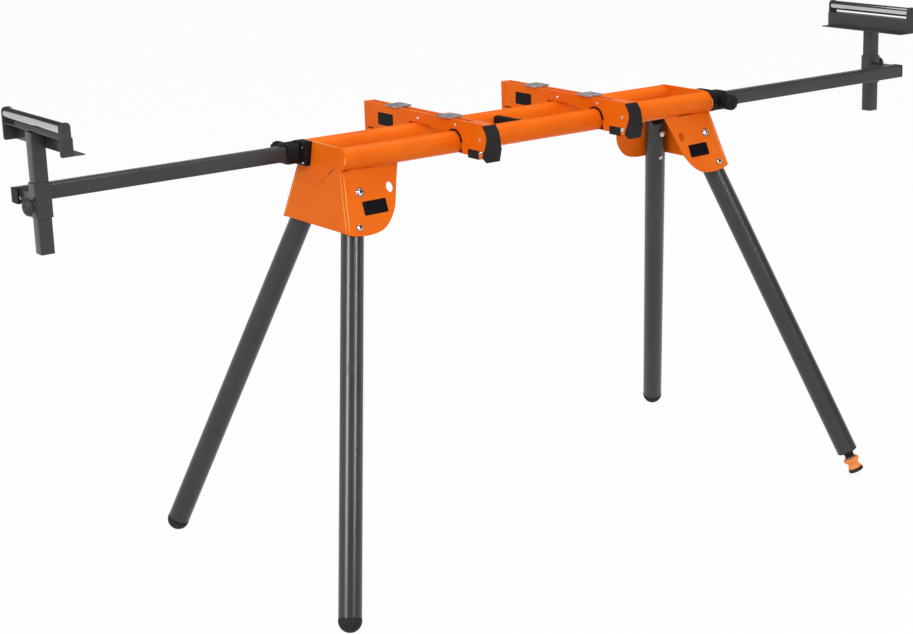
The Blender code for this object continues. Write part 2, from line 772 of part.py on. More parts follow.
def head_on_post(side, slide):
    """Post, folded head plate, end caps, axle and roller of one support."""
    name = side_name(side)
    lift = joint(name + "_post_lift", Matrix.Translation((side * support_x, 0, post_bottom)), slide)
    ledge_bottom = ledge_top - head_sheet
    top = ledge_bottom - fit_gap
    middle = Matrix.Translation((side * support_x, 0, (post_bottom + top) / 2))
    keep(square_tube(name + "_post", post_size, post_wall, post_corner, top - post_bottom, middle),
         charcoal_paint, lift)

    plate_x = head_plate_x
    section = [(plate_x - head_lip, head_bottom), (plate_x + head_sheet, head_bottom),
               (plate_x + head_sheet, ledge_bottom), (plate_x + head_sheet + ledge_reach, ledge_bottom),
               (plate_x + head_sheet + ledge_reach, ledge_top), (plate_x, ledge_top),
               (plate_x, head_bottom + head_sheet), (plate_x - head_lip, head_bottom + head_sheet)]
    across = facing((0, 0, 0), (0, -side, 0), (side, 0, 0))
    channel = plate(name + "_head_channel", [section], head_length, across)
    inner_x = plate_x + head_sheet
    outer_x = inner_x + fit_gap + cap_depth
    trim = head_length / 2 - cap_thickness - fit_gap
    for end in (-1, 1):
        near, far = sorted((end * trim, end * (head_length / 2 + overrun)))
        left, right = sorted((side * inner_x, side * (outer_x + overrun)))
        cut(channel, block(name + "_ledge_end", (left, near, ledge_bottom - overrun),
                           (right, far, ledge_top + overrun)))
    keep(channel, charcoal_paint, lift)

    roller_x = outer_x - cap_depth / 2
    outline = [(inner_x + fit_gap, head_bottom),
               *arc((outer_x - cap_foot_corner, head_bottom + cap_foot_corner), cap_foot_corner, -90, 0, 3),
               *arc((outer_x - cap_corner, cap_top - cap_corner), cap_corner, 0, 90, 5),
               *arc((inner_x + fit_gap + cap_corner, cap_top - cap_corner), cap_corner, 90, 180, 5)]
    hole = ring((roller_x, roller_height), axle_width / 2 + fit_gap)
    for end, where in ((-1, "front"), (1, "rear")):
        centre = Vector((0, end * (head_length - cap_thickness) / 2, 0))
        cap = plate(name + "_" + where + "_head_cap", [outline, hole], cap_thickness,
                    Matrix.Translation(centre) @ across)
        keep(cap, black_plastic, lift)
    spin_at = Vector((side * roller_x, 0, roller_height))
    half = head_length / 2 - fit_gap
    keep(rod(name + "_roller_axle", (0, 0, -half), (0, 0, half), axle_width / 2,
             facing(spin_at, (0, 1, 0), (1, 0, 0)), small_sides), bright_steel, lift)
    spin = joint(name + "_roller_spin", Matrix.Translation(spin_at), lift)
    length = head_length / 2 - cap_thickness - run_gap
    bore = axle_width / 2 + fit_gap
    width = roller_width / 2
    profile = [(bore, length), (width, length), (width, -length), (bore, -length), (bore, length)]
    keep(lathe(name + "_roller", profile, facing(spin_at, (0, 1, 0), (1, 0, 0))), bright_steel, spin)


def over_pin(shares):
    """Places ahead of the lever pin and above it, from shares."""
    return [(lever_pivot_y - lever_throat * ahead, lever_pivot_z + lever_rise * above)
            for ahead, above in shares]


def bracket_outline():
    """Side view of a saw bracket in (y, z), with its rear notch, its front arch and the lever's ear."""
    notch_top = beam_height + tube_r + notch_gap
    arch = tube_r + arch_gap
    ear_foot = lever_pivot_z - lever_ear
    web = bracket_top - web_drop
    arch_rear = -tube_y + arch
    return [(bracket_rear, bracket_top), *smooth(over_pin(front_edge_shares)),
            *arc((lever_pivot_y, lever_pivot_z), lever_ear, 185, 270, 6),
            (jaw_front - run_gap, ear_foot), (jaw_front - run_gap, jaw_top + run_gap),
            (jaw_rear + run_gap, jaw_top + run_gap), (jaw_rear + run_gap, bracket_front_bottom),
            (-tube_y - arch, bracket_front_bottom),
            *arc((-tube_y, beam_height), arch, 180, 0, 14),
            (arch_rear, web - hub_sheet), (notch_front, notch_top), (notch_rear, notch_top),
            (notch_rear, bracket_rear_bottom), (bracket_rear, bracket_rear_bottom)]


def saw_bracket(side, x):
    """Inverted channel across the beam, with its lever, jaw, pin and two mounting pads."""
    name = side_name(side)
    carrier = joint(name + "_bracket_slide", Matrix.Translation((x, 0, beam_height)))
    frame = facing((x, 0, 0), (1, 0, 0), (0, 1, 0))
    outline = bracket_outline()
    hole = ring((lever_pivot_y, lever_pivot_z), pin_width / 2 + fit_gap, 12)
    window = rounded(window_rear - window_front, window_height, window_height / 3, 2,
                     ((window_rear + window_front) / 2, window_level))
    bracket = plate(name + "_saw_bracket", [outline, hole, window], bracket_width, frame)
    inner = bracket_r - bracket_sheet
    low, high = lever_pivot_y - 2 * lever_throat, bracket_rear + overrun
    roof = bracket_top - bracket_sheet
    cut(bracket, block(name + "_channel", (x - inner, low, lever_pivot_z - 2 * lever_ear),
                       (x + inner, high, roof)))
    cut(bracket, block(name + "_slot", (x - slot_width / 2, -slot_front, roof - overrun),
                       (x + slot_width / 2, bracket_rear - slot_rear_bridge, bracket_top + overrun)))
    keep(bracket, orange_paint, carrier)

    axle = facing((x, lever_pivot_y, lever_pivot_z), (1, 0, 0), (0, 1, 0))
    half, head = bracket_r + fit_gap, pin_head_width / 2
    thick = half + pin_head_height
    profile = [(0, thick), (head, thick), (head, half), (pin_width / 2, half), (pin_width / 2, -half),
               (head, -half), (head, -thick), (0, -thick)]
    keep(lathe(name + "_lever_pin", profile, axle, small_sides), bright_steel, carrier)
    clamp_lever(name, x, carrier, axle, inner)
    clamp_jaw(name, x, carrier, inner)
    for where, y in (("rear", rear_pad_y), ("front", front_pad_y)):
        mounting_pad(name + "_" + where + "_saw_pad", x, y, carrier)


def clamp_lever(name, x, carrier, axle, inner):
    """Curved black lever over the bracket's front edge, with a web in the channel round the pin."""
    swing = joint(name + "_lever_swing", axle, carrier)
    frame = facing((x, 0, 0), (1, 0, 0), (0, 1, 0))
    edge = smooth(over_pin(front_edge_shares[1:]))
    clear = [(y - lever_gap, z) for y, z in edge]
    ear = arc((lever_pivot_y, lever_pivot_z), lever_ear + lever_gap, 180, 222, 4)
    face = smooth(over_pin(lever_face_shares[:4])) + over_pin(lever_face_shares[4:])
    band = plate(name + "_clamp_lever", [clear + ear + face[::-1]], lever_width, frame)
    eye = arc((lever_pivot_y, lever_pivot_z), lever_eye, -90, 90, 8)
    root = lever_pivot_z + lever_ear
    foot = lever_pivot_z - lever_ear
    upper, lower = over_pin((lever_face_shares[3], lever_face_shares[5]))
    web = [*eye, (upper[0] + pin_width / 2, root), (lower[0] + pin_width / 2, foot)]
    join(band, plate(name + "_lever_web", [web], 2 * (inner - run_gap), frame))
    cut(band, rod(name + "_lever_hole", (x - lever_width, lever_pivot_y, lever_pivot_z),
                  (x + lever_width, lever_pivot_y, lever_pivot_z), pin_width / 2 + fit_gap,
                  sides=small_sides))
    keep(band, black_plastic, swing)


def clamp_jaw(name, x, carrier, inner):
    """Black jaw in the bracket's cut-out, whose tongue grips the front tube from below."""
    middle = (x, (jaw_front + jaw_rear) / 2, jaw_bottom)
    drop = joint(name + "_jaw_slide", Matrix.Translation(middle), carrier)
    half = bracket_r + jaw_side
    jaw = block(name + "_clamp_jaw", (x - half, jaw_front, jaw_bottom), (x + half, jaw_rear, jaw_top))
    low = bracket_front_bottom
    tongue = block(name + "_jaw_tongue", (x - inner + run_gap, jaw_rear - overrun, low),
                   (x + inner - run_gap, -tube_y, low + jaw_tongue_thickness))
    cut(tongue, rod(name + "_jaw_seat", (x - bracket_width, -tube_y, beam_height),
                    (x + bracket_width, -tube_y, beam_height), tube_r + fit_gap))
    keep(join(jaw, tongue), black_plastic, drop)


def mounting_pad(name, x, y, carrier):
    """Flat pad on the bracket, held by a stem and a foot through its slot."""
    slide = joint(name + "_slide", Matrix.Translation((x, y, bracket_top)), carrier)
    base = bracket_top + fit_gap
    frame = Matrix.Translation((x, y, base + pad_thickness / 2))
    pad = plate(name, [rounded(pad_width, pad_length, pad_corner)], pad_thickness, frame)
    stem = slot_width / 2 - run_gap
    under = bracket_top - bracket_sheet - run_gap
    reach = pad_stem_length / 2
    join(pad, block(name + "_stem", (x - stem, y - reach, under - pad_foot_height / 2),
                    (x + stem, y + reach, base + pad_thickness / 2)))
    join(pad, block(name + "_foot", (x - pad_foot_width / 2, y - reach, under - pad_foot_height),
                    (x + pad_foot_width / 2, y + reach, under)))
    keep(pad, bright_steel, slide)


def carry_handle():
    """Grip between the two beam tubes, hollowed to sit against both."""
    frame = facing((handle_x, 0, (handle_bottom + handle_top) / 2), (0, 1, 0), (1, 0, 0))
    section = rounded(handle_width, handle_top - handle_bottom, handle_corner)
    grip = plate("carry_handle", [section], beam_gauge - tube_r, frame)
    for end in (-1, 1):
        cut(grip, rod("handle_seat_" + ("front" if end < 0 else "rear"),
                      (handle_x - handle_width, end * tube_y, beam_height),
                      (handle_x + handle_width, end * tube_y, beam_height), tube_r + fit_gap))
    keep(grip, black_plastic)


beam_tubes()
carry_handle()
for along in (-1, 1):
    hub_bracket(along)
    collar(along)
    support(along)
    for across in (-1, 1):
        pivot_bolt(along, across)
        detent_button(along, across)
        leg(along, across)
saw_bracket(-1, hub_half * left_bracket_share)
saw_bracket(1, hub_half * right_bracket_share)
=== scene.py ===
"""Looks of the folding miter saw stand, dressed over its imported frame.

Metres, in the frame's axes: +X along the beam, +Z up, the clamp levers at -Y.
Turned and moulded pieces are surfaces worked out with numpy. Folded sheets are
merged copies of the frame's own nodes with their edges rounded.
"""

import math

import bmesh
import bpy
import numpy as np
from mathutils import Matrix, Vector


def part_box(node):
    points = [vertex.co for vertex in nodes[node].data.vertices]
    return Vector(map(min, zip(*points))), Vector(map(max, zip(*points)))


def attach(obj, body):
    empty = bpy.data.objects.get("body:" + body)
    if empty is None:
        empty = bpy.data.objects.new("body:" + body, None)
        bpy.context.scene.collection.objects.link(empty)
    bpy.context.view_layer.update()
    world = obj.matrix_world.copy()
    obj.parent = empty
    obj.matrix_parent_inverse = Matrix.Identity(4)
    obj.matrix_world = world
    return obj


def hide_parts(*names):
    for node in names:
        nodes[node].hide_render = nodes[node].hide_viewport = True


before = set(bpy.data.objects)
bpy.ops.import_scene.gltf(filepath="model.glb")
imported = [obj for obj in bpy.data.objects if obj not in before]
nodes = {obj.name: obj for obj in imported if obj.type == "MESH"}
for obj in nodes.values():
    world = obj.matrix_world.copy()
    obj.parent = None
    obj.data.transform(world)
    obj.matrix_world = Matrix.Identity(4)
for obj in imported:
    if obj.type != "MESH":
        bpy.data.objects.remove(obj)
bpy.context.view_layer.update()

SIDES = {"left": -1, "right": 1}
ENDS = {"front": -1, "rear": 1}

# Sizes shared with the frame's source: tubes, hubs and clearances
TUBE_R, BORE_R, TUBE_Y, BEAM_Z = 0.0212, 0.0194, 0.064, 0.785
HUB_X, HUB_SLOPE, HUB_Z = 0.4503, 0.148, 0.7638
SHEET, GAP, LEG_GAP = 0.0025, 0.0003, 0.0005
FLANGE_FACE = TUBE_R + LEG_GAP + SHEET
FOLD_RADIUS = 0.0045

# Legs: places along a leg are measured from its pivot
LEG_PIVOT, LEG_SPLAY = (0.4214, 0.0649, 0.7173), (0.2993, 0.3713)
FOLD_TURN = {-1: 3.1, 1: -4.5}
LEG_TOP, PLUGGED_LEG, FOOT_LEG = 0.022, 0.76720, 0.73911
PLUG_CENTRE, PLUG_R, PLUG_SHANK = 0.77120, TUBE_R + 0.00037, 0.018
BUTTON_REACH, BUTTON_HOLE = 0.0665, 0.0065
PAD_FOOT, WHEEL_TALL, WHEEL_R = 0.78771, 0.0235, 0.0165

# Arms, collars, posts and saw brackets
ARM_HALF, SLEEVE_HALF, SUPPORT_X = 0.0135, 0.0150, 1.0
COLLAR_DEPTH, COLLAR_BOSS, ARM_KNOB_X = 0.015, 0.0235, 0.471
POST_BOSS, POST_KNOB_OFFSET = 0.005, 0.0095
SADDLE_X, SADDLE_HALF = {"left": -0.178, "right": 0.1645}, 0.012
PIN_Y, PIN_Z = -0.1485, 0.774

# Trim that only shows here: seams and creases as lines of painted shade, folds as lines of painted
# highlight, then rivets as (radius, rise), then their places
SEAM_R, SEAM_Z, SEAM_SPANS = 0.0007, 0.7657, ((0.3560, 0.4075), (0.4345, 0.4500))
WELD_R, WELD_HALF, WELD_INSET = 0.0013, 0.006, 0.0004
BEND_LOW, BEND_HIGH, HUB_MIDDLE = 0.6585, 0.7645, (0.40, 0, 0.71)
CREASE = ((0.4500, 0.0521, 0.7675), (0.4521, 0.0278, 0.7513), (0.4559, -0.0075, 0.7260))
CREASE_R, CREASE_TAIL_R = 0.0006, 0.0003
LEG_RIVET, COLLAR_RIVET = (0.0044, 0.0020), (0.0024, 0.0013)
STUB_RIVET, SADDLE_RIVET = (0.0030, 0.0014), (0.0034, 0.0018)
LEG_RIVET_REACH, LEG_RIVET_DEPTH = 0.066, 0.0206
COLLAR_RIVET_Y, COLLAR_RIVET_HEIGHTS = 0.038, (0.797, 0.768)
STUB_RIVET_X, STUB_RIVET_Z = 1.0141, 0.7822
SADDLE_RIVET_SPOTS = ((0.055, 0.8155), (-0.0695, 0.817), (-0.1465, 0.798))

# Bare label plates and the black block in a saw bracket's window
LABEL_WIDTH, LABEL_CORNER, LABEL_THICKNESS, SLAB_EDGE = 0.053, 0.0022, 0.0006, 0.0003
HUB_LABEL_X, HUB_LABEL_Z, HUB_LABEL_HEIGHT = 0.3937, 0.6958, 0.026
SADDLE_LABEL_Y, SADDLE_LABEL_Z, SADDLE_LABEL_HEIGHT = 0.170, 0.799, 0.025
WINDOW_WIDTH, WINDOW_HEIGHT, WINDOW_CORNER, WINDOW_DEPTH = 0.029, 0.0076, 0.001, 0.0198
WINDOW_Y, WINDOW_Z = 0.2255, 0.7760

SHARP_ANGLE, ROUNDED_ANGLE = 38, 32  # degrees: a sharp edge, and one that gets rounded


# Shader maths

class Value:
    """A socket's output, so that masks and mixes read as plain expressions."""

    def __init__(self, tree, socket):
        self.tree, self.socket = tree, socket

    def __add__(self, other):
        return self.tree.maths("ADD", self, other)

    def __rsub__(self, other):
        return self.tree.maths("SUBTRACT", other, self)

    def __mul__(self, other):
        return self.tree.maths("MULTIPLY", self, other)

    __radd__, __rmul__ = __add__, __mul__

    def rise(self, low, high):
        """0 below low, 1 above high and a smooth step between."""
        return self.tree.node("MapRange", {"interpolation_type": "SMOOTHSTEP"},
                              {0: self, 1: low, 2: high, 3: 0.0, 4: 1.0})


class Nodes:
    """The nodes of a finish or of the world."""

    def __init__(self, tree):
        self.tree = tree

    def node(self, kind, settings=None, sockets=None, output=0):
        """A node of a type, with its settings and then the values or links of its sockets."""
        made = self.tree.nodes.new("ShaderNode" + kind)
        for key, value in (settings or {}).items():
            setattr(made, key, value)
        for key, value in (sockets or {}).items():
            self.feed(made.inputs[key], value)
        return Value(self, made.outputs[output])

    def feed(self, socket, value):
        """A value or a link into one socket."""
        if isinstance(value, Value):
            self.tree.links.new(value.socket, socket)
        else:
            socket.default_value = value

    def maths(self, operation, a, b):
        return self.node("Math", {"operation": operation}, {0: a, 1: b})

    def rays(self):
        """1 on camera rays, 1 on mirrored rays and 1 on rays that pass through glass."""
        return [self.node("LightPath", output=f"Is {kind} Ray")
                for kind in ("Camera", "Glossy", "Transmission")]


class Paint(Nodes):
    """One finish. Numbers that hold all over go on the shader, the rest comes from nodes."""

    def __init__(self, name, **constants):
        self.material = bpy.data.materials.new(name)
        self.material.use_nodes = True
        super().__init__(self.material.node_tree)
        self.shader = self.tree.nodes["Principled BSDF"]
        for label, value in constants.items():
            self.shader.inputs[label.replace("_", " ")].default_value = value

    def place(self, scale=(1, 1, 1)):
        """Object coordinates, stretched for a grain with a direction."""
        spot = self.node("TexCoord", output=3)
        return self.node("VectorMath", {"operation": "MULTIPLY"}, {0: spot, 1: scale})

    def noise(self, scale, detail, stretch=(1, 1, 1)):
        return self.node("TexNoise", None,
                         {"Vector": self.place(stretch), "Scale": scale, "Detail": detail})

    def cells(self, scale):
        """Distance to the nearest of scattered points, for pits and pebbles."""
        return self.node("TexVoronoi", None, {"Vector": self.place(), "Scale": scale})

    def height(self):
        """Height above the floor."""
        spot = self.node("TexCoord", output=3)
        return self.node("SeparateXYZ", None, {0: spot}, output=2)

    def blend(self, mask, first, second):
        """Colour first where the mask is 0 and second where it is 1."""
        return self.node("Mix", {"data_type": "RGBA"}, {0: mask, 6: first, 7: second}, output=2)

    def finished(self, colour, roughness, height, depth, coat=None):
        """Material of a colour, a roughness and a height field that swings over depth metres."""
        bump = self.node("Bump", None, {"Strength": 1.0, "Distance": depth, "Height": height})
        fed = {"Base Color": colour, "Roughness": roughness, "Normal": bump}
        if coat:
            fed["Coat Weight"] = coat
        for label, value in fed.items():
            self.feed(self.shader.inputs[label], value)
        return self.material


def tint(red, green, blue):
    """Linear colour of display values from 0 to 255."""
    shares = np.array([red, green, blue]) / 255
    linear = np.where(shares <= 0.04045, shares / 12.92, ((shares + 0.055) / 1.055) ** 2.4)
    return (*linear.tolist(), 1.0)


# Finishes

def orange_powder(name, deep, bright):
    """Orange powder coat between two tints: orange peel, soft cloudiness and thin dull rubs."""
    paint = Paint(name, Metallic=0.0, Coat_Roughness=0.2, Specular_IOR_Level=0.05)
    cloud, peel, speck = paint.noise(11, 3), paint.noise(620, 2), paint.noise(1900, 1)
    scuff = paint.noise(34, 5, (1, 4, 1)).rise(0.60, 0.74)
    body = paint.blend(cloud.rise(0.3, 0.7), tint(*deep), tint(*bright))
    colour = paint.blend(scuff * 0.2, body, tint(226, 98, 20))
    roughness = 0.30 + 0.08 * cloud + 0.10 * scuff + 0.06 * speck
    return paint.finished(colour, roughness, peel * 0.8 + speck * 0.3, 0.00006,
                          coat=0.05 - 0.03 * scuff)


def charcoal_powder():
    """Charcoal powder coat: fine pebbled skin with dry rubs that turn grey."""
    paint = Paint("charcoal_powder_coat", Metallic=0.0, Coat_Roughness=0.22,
                  Specular_IOR_Level=0.2)
    cloud, pebble, speck = paint.noise(8, 3), paint.cells(900), paint.noise(2400, 1)
    rub = paint.noise(26, 5, (1, 1, 0.3)).rise(0.58, 0.78)
    body = paint.blend(cloud.rise(0.3, 0.7), tint(46, 48, 50), tint(53, 55, 57))
    colour = paint.blend(rub * 0.35, body, tint(72, 72, 72))
    return paint.finished(colour, 0.34 + 0.08 * cloud + 0.12 * rub, pebble * 0.7 + speck * 0.4,
                          0.00002, coat=0.42 - 0.2 * rub)


def black_moulding(name, shade, cast=2):
    """Moulded plastic of a dark shade, whose green is lower by a cast: grain and a little dust."""
    paint = Paint(name, Metallic=0.0, Specular_IOR_Level=0.18)
    grain, cloud = paint.noise(1500, 3), paint.noise(30, 4)
    dark, middle, dusty = [tint(grey, grey - cast, grey) for grey in (shade, shade + 8, shade + 20)]
    body = paint.blend(cloud.rise(0.35, 0.75), dark, middle)
    colour = paint.blend(grain.rise(0.55, 0.75) * 0.3, body, dusty)
    return paint.finished(colour, 0.44 + 0.14 * cloud + 0.06 * grain, grain, 0.00007)


def orange_moulding():
    """Moulded orange plastic of the levelling wheel, with fine darker grain."""
    paint = Paint("orange_moulded_plastic", Metallic=0.0, Specular_IOR_Level=0.25)
    grain, cloud = paint.noise(1300, 3), paint.noise(90, 4)
    body = paint.blend(cloud.rise(0.3, 0.7), tint(253, 148, 62), tint(255, 162, 78))
    colour = paint.blend(grain.rise(0.6, 0.8) * 0.2, body, tint(226, 118, 42))
    return paint.finished(colour, 0.38 + 0.14 * cloud, grain, 0.00006)


def black_rubber():
    """Matt black rubber that greys with floor dust towards its sole."""
    paint = Paint("black_rubber_skin", Metallic=0.0, Specular_IOR_Level=0.25)
    grain, smear = paint.noise(1100, 3), paint.noise(70, 5, (1, 1, 2.5))
    dust = (1 - paint.height().rise(0.0, 0.016)) * smear.rise(0.35, 0.7)
    body = paint.blend(smear.rise(0.3, 0.7), tint(26, 26, 27), tint(37, 37, 38))
    colour = paint.blend(dust * 0.45, body, tint(80, 77, 72))
    return paint.finished(colour, 0.62 + 0.16 * smear + 0.1 * dust, grain, 0.00008)


def zinc_plate():
    """Bright zinc on bolts, pins and rivets: fine tool marks and cloudy passivation."""
    paint = Paint("bright_zinc_plate", Metallic=1.0)
    cloud, marks = paint.noise(160, 4), paint.noise(700, 3, (1, 1, 6))
    body = paint.blend(cloud.rise(0.3, 0.7), tint(186, 188, 190), tint(214, 215, 214))
    colour = paint.blend(marks.rise(0.6, 0.8) * 0.4, body, tint(150, 150, 150))
    return paint.finished(colour, 0.10 + 0.10 * cloud + 0.06 * marks, marks, 0.00001)


def brushed_roller():
    """Brushed steel tube of the roller: long hairlines along it, dulled in streaks."""
    paint = Paint("brushed_roller_steel", Metallic=1.0)
    hair, streak = paint.noise(900, 3, (1, 0.02, 1)), paint.noise(60, 4, (1, 0.1, 1))
    body = paint.blend(streak.rise(0.3, 0.7), tint(178, 180, 181), tint(204, 205, 205))
    colour = paint.blend(hair.rise(0.5, 0.75) * 0.5, body, tint(156, 157, 158))
    return paint.finished(colour, 0.13 + 0.06 * streak + 0.05 * hair, hair, 0.00001)


def pad_steel():
    """Grey plated steel of the saw pads, rubbed paler where a saw's feet have stood."""
    paint = Paint("rubbed_pad_steel", Metallic=0.6, Specular_IOR_Level=0.3)
    worn, marks = paint.noise(75, 4), paint.noise(420, 4, (1, 0.12, 1))
    body = paint.blend(worn.rise(0.4, 0.62), tint(138, 134, 138), tint(180, 175, 179))
    colour = paint.blend(marks.rise(0.55, 0.75) * 0.4, body, tint(114, 110, 114))
    return paint.finished(colour, 0.36 + 0.16 * marks + 0.08 * worn, marks, 0.00004)


def plate_black():
    """Satin black of the bare label plates, with faint handling marks."""
    paint = Paint("bare_plate_black", Metallic=0.0, Specular_IOR_Level=0.06)
    cloud, grain = paint.noise(120, 4), paint.noise(1800, 2)
    colour = paint.blend(cloud.rise(0.35, 0.7), tint(14, 12, 15), tint(21, 19, 22))
    return paint.finished(colour, 0.34 + 0.16 * cloud, grain, 0.00002)


ORANGE = orange_powder("orange_powder_coat", (241, 106, 11), (246, 115, 19))
# A paler orange that paints highlights: the lit lines along folds, along the end plate's top edge
# and on the tube welds.
ORANGE_HIGHLIGHT = orange_powder("orange_painted_highlight", (255, 176, 100), (255, 190, 118))
CHARCOAL, PLATE_BLACK = charcoal_powder(), plate_black()
BLACK = black_moulding("black_moulded_plastic", 11)
GREY_BLACK = black_moulding("worn_moulded_plastic", 24)
CAP_GREY = black_moulding("grey_moulded_plastic", 58, -1)
ORANGE_PLASTIC, RUBBER, ZINC = orange_moulding(), black_rubber(), zinc_plate()
ROLLER_STEEL, PAD_STEEL = brushed_roller(), pad_steel()


# Making pieces

def unit(way):
    way = np.asarray(way, float)
    return way / np.linalg.norm(way)


def across(way):
    """Two directions square to a way and to each other."""
    way = unit(way)
    helper = np.array([0.0, 0.0, 1.0]) if abs(way[2]) < 0.9 else np.array([1.0, 0.0, 0.0])
    first = unit(np.cross(helper, way))
    return first, np.cross(way, first)


def full_turn(sides):
    return np.linspace(0, 2 * math.pi, sides, endpoint=False)


def stand_in(name, mesh, body, finish, *replaced):
    """A finished mesh on its body, for the nodes that it replaces."""
    piece = bpy.data.objects.new(name, mesh)
    bpy.context.scene.collection.objects.link(piece)
    mesh.materials.clear()
    mesh.materials.append(finish)
    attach(piece, body)
    if replaced:
        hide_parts(*replaced)
    return piece


def surface(name, grid, loop_rows=False, loop_columns=True, sharp=SHARP_ANGLE):
    """Mesh of a (rows, columns, 3) grid: point (i, j) is joined to (i + 1, j) and (i, j + 1).

    A looped way joins its last line to its first. Points that meet at a pole are merged.
    """
    rows, columns = grid.shape[:2]
    i = np.arange(rows if loop_rows else rows - 1)[:, None]
    j = np.arange(columns if loop_columns else columns - 1)[None, :]
    here, next_row, right = i * columns, (i + 1) % rows * columns, (j + 1) % columns
    quads = np.stack([here + j, here + right, next_row + right, next_row + j], -1)
    mesh = bpy.data.meshes.new(name)
    mesh.from_pydata(grid.reshape(-1, 3).tolist(), [], quads.reshape(-1, 4).tolist())
    shell = bmesh.new()
    shell.from_mesh(mesh)
    bmesh.ops.remove_doubles(shell, verts=shell.verts, dist=1e-6)
    bmesh.ops.recalc_face_normals(shell, faces=shell.faces)
    shell.to_mesh(mesh)
    shell.free()
    mesh.shade_smooth()
    mesh.set_sharp_from_angle(angle=math.radians(sharp))
    return mesh


def softened(profile, radius, steps=4):
    """Profile whose inner corners are rounded.

    A corner P between A and B becomes the curve (1-t)^2 A' + 2t(1-t) P + t^2 B', where A' and B'
    lie a radius from P, or half the way to the neighbour if that is nearer.
    """
    points = np.array(profile, float)
    before, corner, after = points[:-2], points[1:-1], points[2:]
    back, on = before - corner, after - corner
    far_back = np.maximum(np.linalg.norm(back, axis=1, keepdims=True), 1e-9)
    far_on = np.maximum(np.linalg.norm(on, axis=1, keepdims=True), 1e-9)
    start = (corner + back * np.minimum(radius / far_back, 0.5))[:, None]
    stop = (corner + on * np.minimum(radius / far_on, 0.5))[:, None]
    t = np.linspace(0, 1, steps + 1)[None, :, None]
    curve = (1 - t) ** 2 * start + 2 * t * (1 - t) * corner[:, None] + t ** 2 * stop
    return np.vstack([points[:1], curve.reshape(-1, 2), points[-1:]])


def turned(name, profile, origin, way, soft, sides=64, ripple=None, floor=False):
    """Turned surface: point (i, j) = origin + h_i way + r_i w_ij (cos a_j u + sin a_j v).

    The profile gives (r, h), with its corners softened by a radius. u and v are square to the way,
    and w_ij is 1 or what ripple(r, a) gives. With floor, z becomes max(z, 0).
    """
    rows = softened(profile, soft) if soft else np.array(profile, float)
    u, v = across(way)
    angle = full_turn(sides)
    r, h = rows[:, :1], rows[:, 1:]
    r = r * (ripple(r, angle[None, :]) if ripple else np.ones((1, sides)))
    grid = (np.asarray(origin, float) + h[..., None] * unit(way)
            + r[..., None] * (np.cos(angle)[None, :, None] * u + np.sin(angle)[None, :, None] * v))
    if floor:
        grid[..., 2] = np.maximum(grid[..., 2], 0.0)
    return surface(name, grid)


def round_rectangle(width, height, corner, steps=6):
    """Outline of a rectangle whose quarters are corner centre + corner (cos a, sin a)."""
    quarter = np.arange(4)[:, None]
    angle = quarter * math.pi / 2 + np.linspace(0, math.pi / 2, steps + 1)[None, :]
    sign_x = np.array([1, -1, -1, 1])[:, None]
    sign_y = np.array([1, 1, -1, -1])[:, None]
    x = sign_x * (width / 2 - corner) + corner * np.cos(angle)
    y = sign_y * (height / 2 - corner) + corner * np.sin(angle)
    return np.stack([x, y], -1).reshape(-1, 2)


def slab(name, width, height, corner, thickness, edge, origin, right, up):
    """Rounded plate: its outline rises along the normal and draws in over the edge.

    Row k is the outline of a rectangle that is inset by e_k, at height z_k: e and z follow a
    quarter circle of radius edge, and the last row closes on the middle.
    """
    turn = np.linspace(0, math.pi / 2, 5)
    inset = np.concatenate([[0], edge * (1 - np.cos(turn)), [min(width, height) / 4]])
    rise = np.concatenate([[0], thickness - edge + edge * np.sin(turn), [thickness]])
    rings = [round_rectangle(width - 2 * e, height - 2 * e, max(corner - e, 0.0002))
             for e in inset]
    outline = np.stack([rings[0] * 0] + rings + [rings[-1] * 0])
    lift = np.concatenate([[0], rise, [thickness]])
    right, up = unit(right), unit(up)
    grid = (np.asarray(origin, float) + outline[..., :1] * right + outline[..., 1:] * up
            + lift[:, None, None] * np.cross(right, up))
    return surface(name, grid)


def bead(name, start, stop, rows, sides, size, wander=0.0):
    """Circle of radius R(s) carried from start to stop, where s runs from 0 to 1.

    Point (i, j) = start + s_i (stop - start) + wander sin(37 s_i + 1.3) u
    + R(s_i) (cos a_j u + sin a_j v), with u and v square to the way.
    """
    start, stop = np.asarray(start, float), np.asarray(stop, float)
    s = np.linspace(0, 1, rows)[:, None, None]
    angle = full_turn(sides)[None, :, None]
    u, v = across(stop - start)
    grid = (start + s * (stop - start) + wander * np.sin(37 * s + 1.3) * u
            + size(s) * (np.cos(angle) * u + np.sin(angle) * v))
    return surface(name, grid, sharp=60)


def weld_bead(name, start, stop, radius, pitch=0.0022):
    """Weld bead that swells with each ripple and closes at both ends, along a length L.

    R(s) = radius (1 - (2s - 1)^8)^(1/2) (0.86 + 0.14 |sin(pi L s / pitch)|).
    """
    length = math.dist(start, stop)

    def size(s):
        ripple = 0.86 + 0.14 * np.abs(np.sin(math.pi * length * s / pitch))
        return radius * np.sqrt(np.maximum(1 - (2 * s - 1) ** 8, 0)) * ripple

    return bead(name, start, stop, max(24, int(length / pitch) * 6), 16, size, 0.12 * radius)


def seam(name, start, stop, radius):
    """Thin line that fades at both ends: R(s) = radius (1 - (2s - 1)^4)^(1/2)."""
    return bead(name, start, stop, 24, 12,
                lambda s: radius * np.sqrt(np.maximum(1 - (2 * s - 1) ** 4, 0)))


def rivet(name, spot, way, radius, rise):
    """Rivet or pan head: a low dome r = R sin a, h = rise (0.35 + 0.65 cos a), on a skirt."""
    turn = np.linspace(0, math.pi / 2, 9)
    crown = list(zip(radius * np.sin(turn), rise * (0.35 + 0.65 * np.cos(turn))))
    return turned(name, crown + [(radius, 0), (0, 0)], spot, way, 0, 32)


